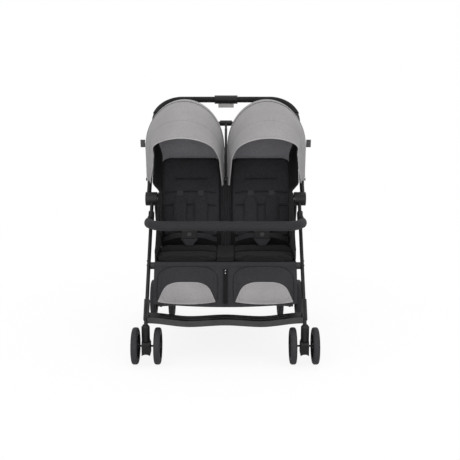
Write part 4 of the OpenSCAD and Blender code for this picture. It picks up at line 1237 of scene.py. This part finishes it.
def bar_path():
    """Middle line of the bar's cover, from the right end to the left end, and its radius."""
    bend = settings("bar").bend
    low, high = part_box("bumper_bar")
    radius = (high.z - low.z) / 2
    height = (high.z + low.z) / 2
    across = high.x - radius
    front = low.y + radius
    start = JOINTS["bumper_open"]["pos_m"][1] - 0.020
    centre = Vector((across - bend, front + bend, height))
    points = [Vector((across, start, height))]
    for i in range(BEND_STEPS + 1):
        turn = math.pi / 2 * i / BEND_STEPS
        points.append(centre + Vector((math.cos(turn), -math.sin(turn), 0)) * bend)
    other_end = [Vector((-p.x, p.y, p.z)) for p in reversed(points)]
    points += spots(FRONT_STEPS, lambda x: Vector((x, front, height)), centre.x, -centre.x)[1:-1]
    return points + other_end, radius


def make_bumper_cover():
    """Padded cloth cover of the bar, with a black cap on each end."""
    points, radius = bar_path()
    cover = trim("bumper_bar_cover", points, radius - 0.0012, "bumper", "calf_fabric", "bar_cloth",
                 detail=BAR_DETAIL)
    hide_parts("bumper_bar")
    reach = settings("bar").cap
    for name, side in SIDES.items():
        tip, *others = points if side > 0 else points[::-1]
        inward = (others[0] - tip).normalized()
        line = [tip + Vector((0, 0.0008, 0)), tip + inward * 0.004]
        line += [p for p in others if (p - tip).length < reach]
        trim(f"bar_cap_{name}", line, radius + 0.0004, "bumper", "plastic_black", "nylon",
             detail=BAR_DETAIL)


# Basket

RIM_REAR, RIM_FRONT = 0.271, 0.319  # heights of the basket's rim
BASKET_CORNER = 0.046
BASKET_STRAPS = (("front", -0.118), ("rear", 0.040))


def make_basket():
    """Cloth tub under the seats, with a bound rim and four straps."""
    low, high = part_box("basket")
    sizes = settings("basket")
    half = (high.x - low.x) / 2
    floor, corner = low.z, BASKET_CORNER

    def rim_z(y):
        return mix(RIM_FRONT, RIM_REAR, (y - low.y) / (high.y - low.y))

    def section(u):
        """Front wall, floor and rear wall as one bent line."""
        if u < 0.3:
            return low.y, mix(RIM_FRONT, floor + corner, u / 0.3)
        if u < 0.4:
            turn = math.pi / 2 * (u - 0.3) / 0.1
            return low.y + corner * (1 - math.cos(turn)), floor + corner * (1 - math.sin(turn))
        if u < 0.6:
            return mix(low.y + corner, high.y - corner, (u - 0.4) / 0.2), floor
        if u < 0.7:
            turn = math.pi / 2 * (u - 0.6) / 0.1
            return high.y - corner * (1 - math.sin(turn)), floor + corner * (1 - math.cos(turn))
        return high.y, mix(floor + corner, RIM_REAR, (u - 0.7) / 0.3)

    def place(u, v):
        y, z = section(u)
        x = (v - 0.5) * 2 * half
        bow = sizes.bow * (1 - (x / half) ** 4) * smooth_step((RIM_REAR - z) / 0.09)
        return Vector((x, y, z + bow))

    walls = shaped_grid(80, 60, place)
    for side in SIDES.values():
        ring = spots(80, lambda u: walls.verts.new(Vector((side * half, *section(u)))))
        bmesh.ops.triangulate(walls, faces=[walls.faces.new(ring)])
    bmesh.ops.remove_doubles(walls, verts=walls.verts, dist=0.0004)
    bmesh.ops.recalc_face_normals(walls, faces=walls.faces)
    area = area_of(walls)
    thicken(walls, sizes.cloth)
    cloth = dress(object_from("basket_cloth", walls), "front_frame", "seat_fabric", "seat_cloth",
                  crease=60)
    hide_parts("basket")
    corners = ((half, low.y), (half, high.y), (-half, high.y), (-half, low.y))
    trim("basket_rim_binding", [Vector((x, y, rim_z(y))) for x, y in corners], sizes.binding,
         "front_frame", "seat_fabric", "webbing", closed=True)
    for name, side in SIDES.items():
        for step, y in BASKET_STRAPS:
            x = side * (half - 0.0015)
            points = spots(6, lambda z: Vector((x, y, z)), rim_z(y) - 0.03, high.z)
            strap(f"basket_strap_{name}_{step}", points, Vector((0, 1, 0)), 0.026, 0.0016,
                  "front_frame")


# Finishes of the rigid pieces

NODE_FINISHES = {
    "powder_coat": ("front_leg_left", "front_leg_right", "rear_leg_left", "rear_leg_right",
                    "push_handle", "hood_post", "rear_axle", "seat_frame"),
    "nylon": ("fold_housing", "hub_covers", "caster_sockets", "caster_left", "caster_right",
              "buckles", "seat_boards", "back_board_left", "back_board_right", "bar_receivers",
              "bar_plugs", "hood_pins"),
    "grip": ("handle_grips",),
    "lever": ("fold_lever",),
    "footrest": ("footrest_bar",),
    "grey_nylon": ("seat_brackets", "brake_pedal", "bar_release", "buckle_button_left",
                   "buckle_button_right"),
    "steel": ("hub_pins",),
    "calf_cloth": ("calf_board",),
    "side_cloth": ("calf_strip",),
}


def finish_nodes():
    """Gives each rigid node of the CAD its finish."""
    chosen = {node: name for name, nodes in NODE_FINISHES.items() for node in nodes}
    for node, piece in frame["nodes"].items():
        name = chosen.get(node)
        if "tyre" in node:
            name = "tyre"
        elif "rim_" in node:
            name = "nylon"
        if name:
            piece.data.materials.clear()
            piece.data.materials.append(finish(name))


# Stage

LAMPS = (  # name, place, power in watts, width
    ("key", (-1.6, -2.6, 3.2), 42, 2.4),
    ("fill", (2.4, -2.2, 2.2), 28, 2.2),
    ("top", (0.2, 0.6, 3.4), 34, 2.6),
    ("front", (0.0, -3.9, 1.0), 46, 2.4),
)
AIM = Vector((0, 0, 0.55))  # the place that the lamps light


def make_camera():
    """Camera at the photograph's height and angle."""
    sizes = settings("stage")
    lens = bpy.data.cameras.new("Camera")
    lens.lens = sizes.lens
    lens.sensor_width = 36
    camera = linked("Camera", lens)
    camera.location = (sizes.camera_x, sizes.camera_y, sizes.camera_z)
    camera.rotation_euler = (math.pi / 2 - sizes.camera_pitch, 0, 0)
    bpy.context.scene.camera = camera


def make_world():
    """White to the eye and in reflections, and dimmer as a light on the stroller."""
    world = bpy.data.worlds.new("Studio")
    bpy.context.scene.world = world
    world.use_nodes = True
    tree = world.node_tree
    ways = add(tree, "LightPath", {}, "Is Camera Ray").node.outputs
    glossy = add(tree, "Math", {0: ways["Is Camera Ray"], 1: ways["Is Glossy Ray"]}, "Value",
                 operation="MAXIMUM")
    seen = add(tree, "Math", {0: glossy, 1: ways["Is Transmission Ray"]}, "Value",
               operation="MAXIMUM")
    strength = add(tree, "MapRange", {"Value": seen, "To Min": 0.55, "To Max": 1.0}, "Result")
    feed(tree, tree.nodes["Background"], {"Strength": strength, "Color": WHITE})


def make_floor():
    """Pale floor that keeps the shadow and fades to white away from the stroller."""
    bm = bmesh.new()
    bmesh.ops.create_grid(bm, x_segments=8, y_segments=8, size=14)
    floor = object_from("studio_floor", bm)
    material, tree, shader, place = new_material("pale studio floor")
    feed(tree, shader, {"Base Color": (0.92, 0.92, 0.92, 1), "Roughness": 0.9})
    reach = add(tree, "VectorMath", {0: place}, "Value", operation="LENGTH")
    fade = add(tree, "MapRange", {"Value": reach, "From Min": 0.3, "From Max": 1.4,
                                  "To Min": 0.86, "To Max": 1.0}, "Result")
    camera_ray = add(tree, "LightPath", {}, "Is Camera Ray")
    seen = add(tree, "Math", {0: fade, 1: camera_ray}, "Value", operation="MULTIPLY")
    glow = add(tree, "Emission", {"Color": WHITE, "Strength": 1.0}, "Emission")
    both = add(tree, "MixShader", {0: seen, 1: shader.outputs["BSDF"], 2: glow}, "Shader")
    feed(tree, tree.nodes["Material Output"], {"Surface": both})
    floor.data.materials.append(material)


def make_lamps():
    """Soft square lamps round the stroller."""
    for name, spot, power, width in LAMPS:
        lamp = bpy.data.lights.new(name, "AREA")
        lamp.energy = power
        lamp.size = width
        light = linked(name, lamp)
        light.location = spot
        light.rotation_euler = (AIM - Vector(spot)).to_track_quat("-Z", "Y").to_euler()


# Operators


class STROLLER_OT_stage(bpy.types.Operator):
    """Camera, floor and studio light"""

    bl_idname = "stroller.stage"
    bl_label = "Stage"

    def execute(self, context):
        context.scene.view_settings.view_transform = "Standard"
        make_camera()
        make_world()
        make_floor()
        make_lamps()
        return {"FINISHED"}


class STROLLER_OT_finishes(bpy.types.Operator):
    """Finishes of the rigid pieces"""

    bl_idname = "stroller.finishes"
    bl_label = "Finishes"

    def execute(self, context):
        finish_nodes()
        return {"FINISHED"}


class STROLLER_OT_hoods(bpy.types.Operator):
    """Lined cloth panels of the two hoods"""

    bl_idname = "stroller.hoods"
    bl_label = "Hoods"

    def execute(self, context):
        make_hoods()
        make_hood_gap()
        return {"FINISHED"}


class STROLLER_OT_backs(bpy.types.Operator):
    """Back cushions, covers and side wings"""

    bl_idname = "stroller.backs"
    bl_label = "Backs"

    def execute(self, context):
        make_back_cushions()
        make_back_covers()
        return {"FINISHED"}


class STROLLER_OT_seats(bpy.types.Operator):
    """Seat cushions, side walls and the pleated cloth"""

    bl_idname = "stroller.seats"
    bl_label = "Seats"

    def execute(self, context):
        make_seat_cushions()
        make_seat_bridge()
        make_seat_apron()
        make_side_walls()
        make_front_roll()
        make_gusset()
        return {"FINISHED"}


class STROLLER_OT_harness(bpy.types.Operator):
    """Shoulder pads, straps and crotch pads"""

    bl_idname = "stroller.harness"
    bl_label = "Harness"

    def execute(self, context):
        make_shoulder_pads()
        make_lap_straps()
        make_crotch_pads()
        return {"FINISHED"}


class STROLLER_OT_calf(bpy.types.Operator):
    """Calf pads with their pale insets"""

    bl_idname = "stroller.calf"
    bl_label = "Calf panel"

    def execute(self, context):
        make_calf_panel()
        return {"FINISHED"}


class STROLLER_OT_bar(bpy.types.Operator):
    """Cloth cover and caps of the bumper bar"""

    bl_idname = "stroller.bar"
    bl_label = "Bumper bar"

    def execute(self, context):
        make_bumper_cover()
        return {"FINISHED"}


class STROLLER_OT_basket(bpy.types.Operator):
    """Cloth tub under the seats"""

    bl_idname = "stroller.basket"
    bl_label = "Basket"

    def execute(self, context):
        make_basket()
        return {"FINISHED"}


OPERATORS = (STROLLER_OT_stage, STROLLER_OT_finishes, STROLLER_OT_hoods, STROLLER_OT_backs,
             STROLLER_OT_seats, STROLLER_OT_harness, STROLLER_OT_calf, STROLLER_OT_bar,
             STROLLER_OT_basket)


class STROLLER_PT_panel(bpy.types.Panel):
    """Lists the building steps in the sidebar."""

    bl_label = "Stroller"
    bl_idname = "STROLLER_PT_panel"
    bl_space_type = "VIEW_3D"
    bl_region_type = "UI"
    bl_category = "Stroller"

    def draw(self, context):
        for made in OPERATORS:
            self.layout.operator(made.bl_idname)


GROUPS = {"hood": HoodSizes, "seat": SeatSizes, "harness": HarnessSizes, "bar": BarSizes,
          "basket": BasketSizes, "colours": Palette, "stage": StageSizes}


def register():
    for name, group in GROUPS.items():
        bpy.utils.register_class(group)
        setattr(bpy.types.Scene, f"stroller_{name}", PointerProperty(type=group))
    for made in (*OPERATORS, STROLLER_PT_panel):
        bpy.utils.register_class(made)


def unregister():
    for made in (STROLLER_PT_panel, *reversed(OPERATORS)):
        bpy.utils.unregister_class(made)
    for name, group in GROUPS.items():
        delattr(bpy.types.Scene, f"stroller_{name}")
        bpy.utils.unregister_class(group)


def main():
    register()
    for made in OPERATORS:
        getattr(bpy.ops.stroller, made.bl_idname.split(".")[1])()


if __name__ == "__main__":
    main()
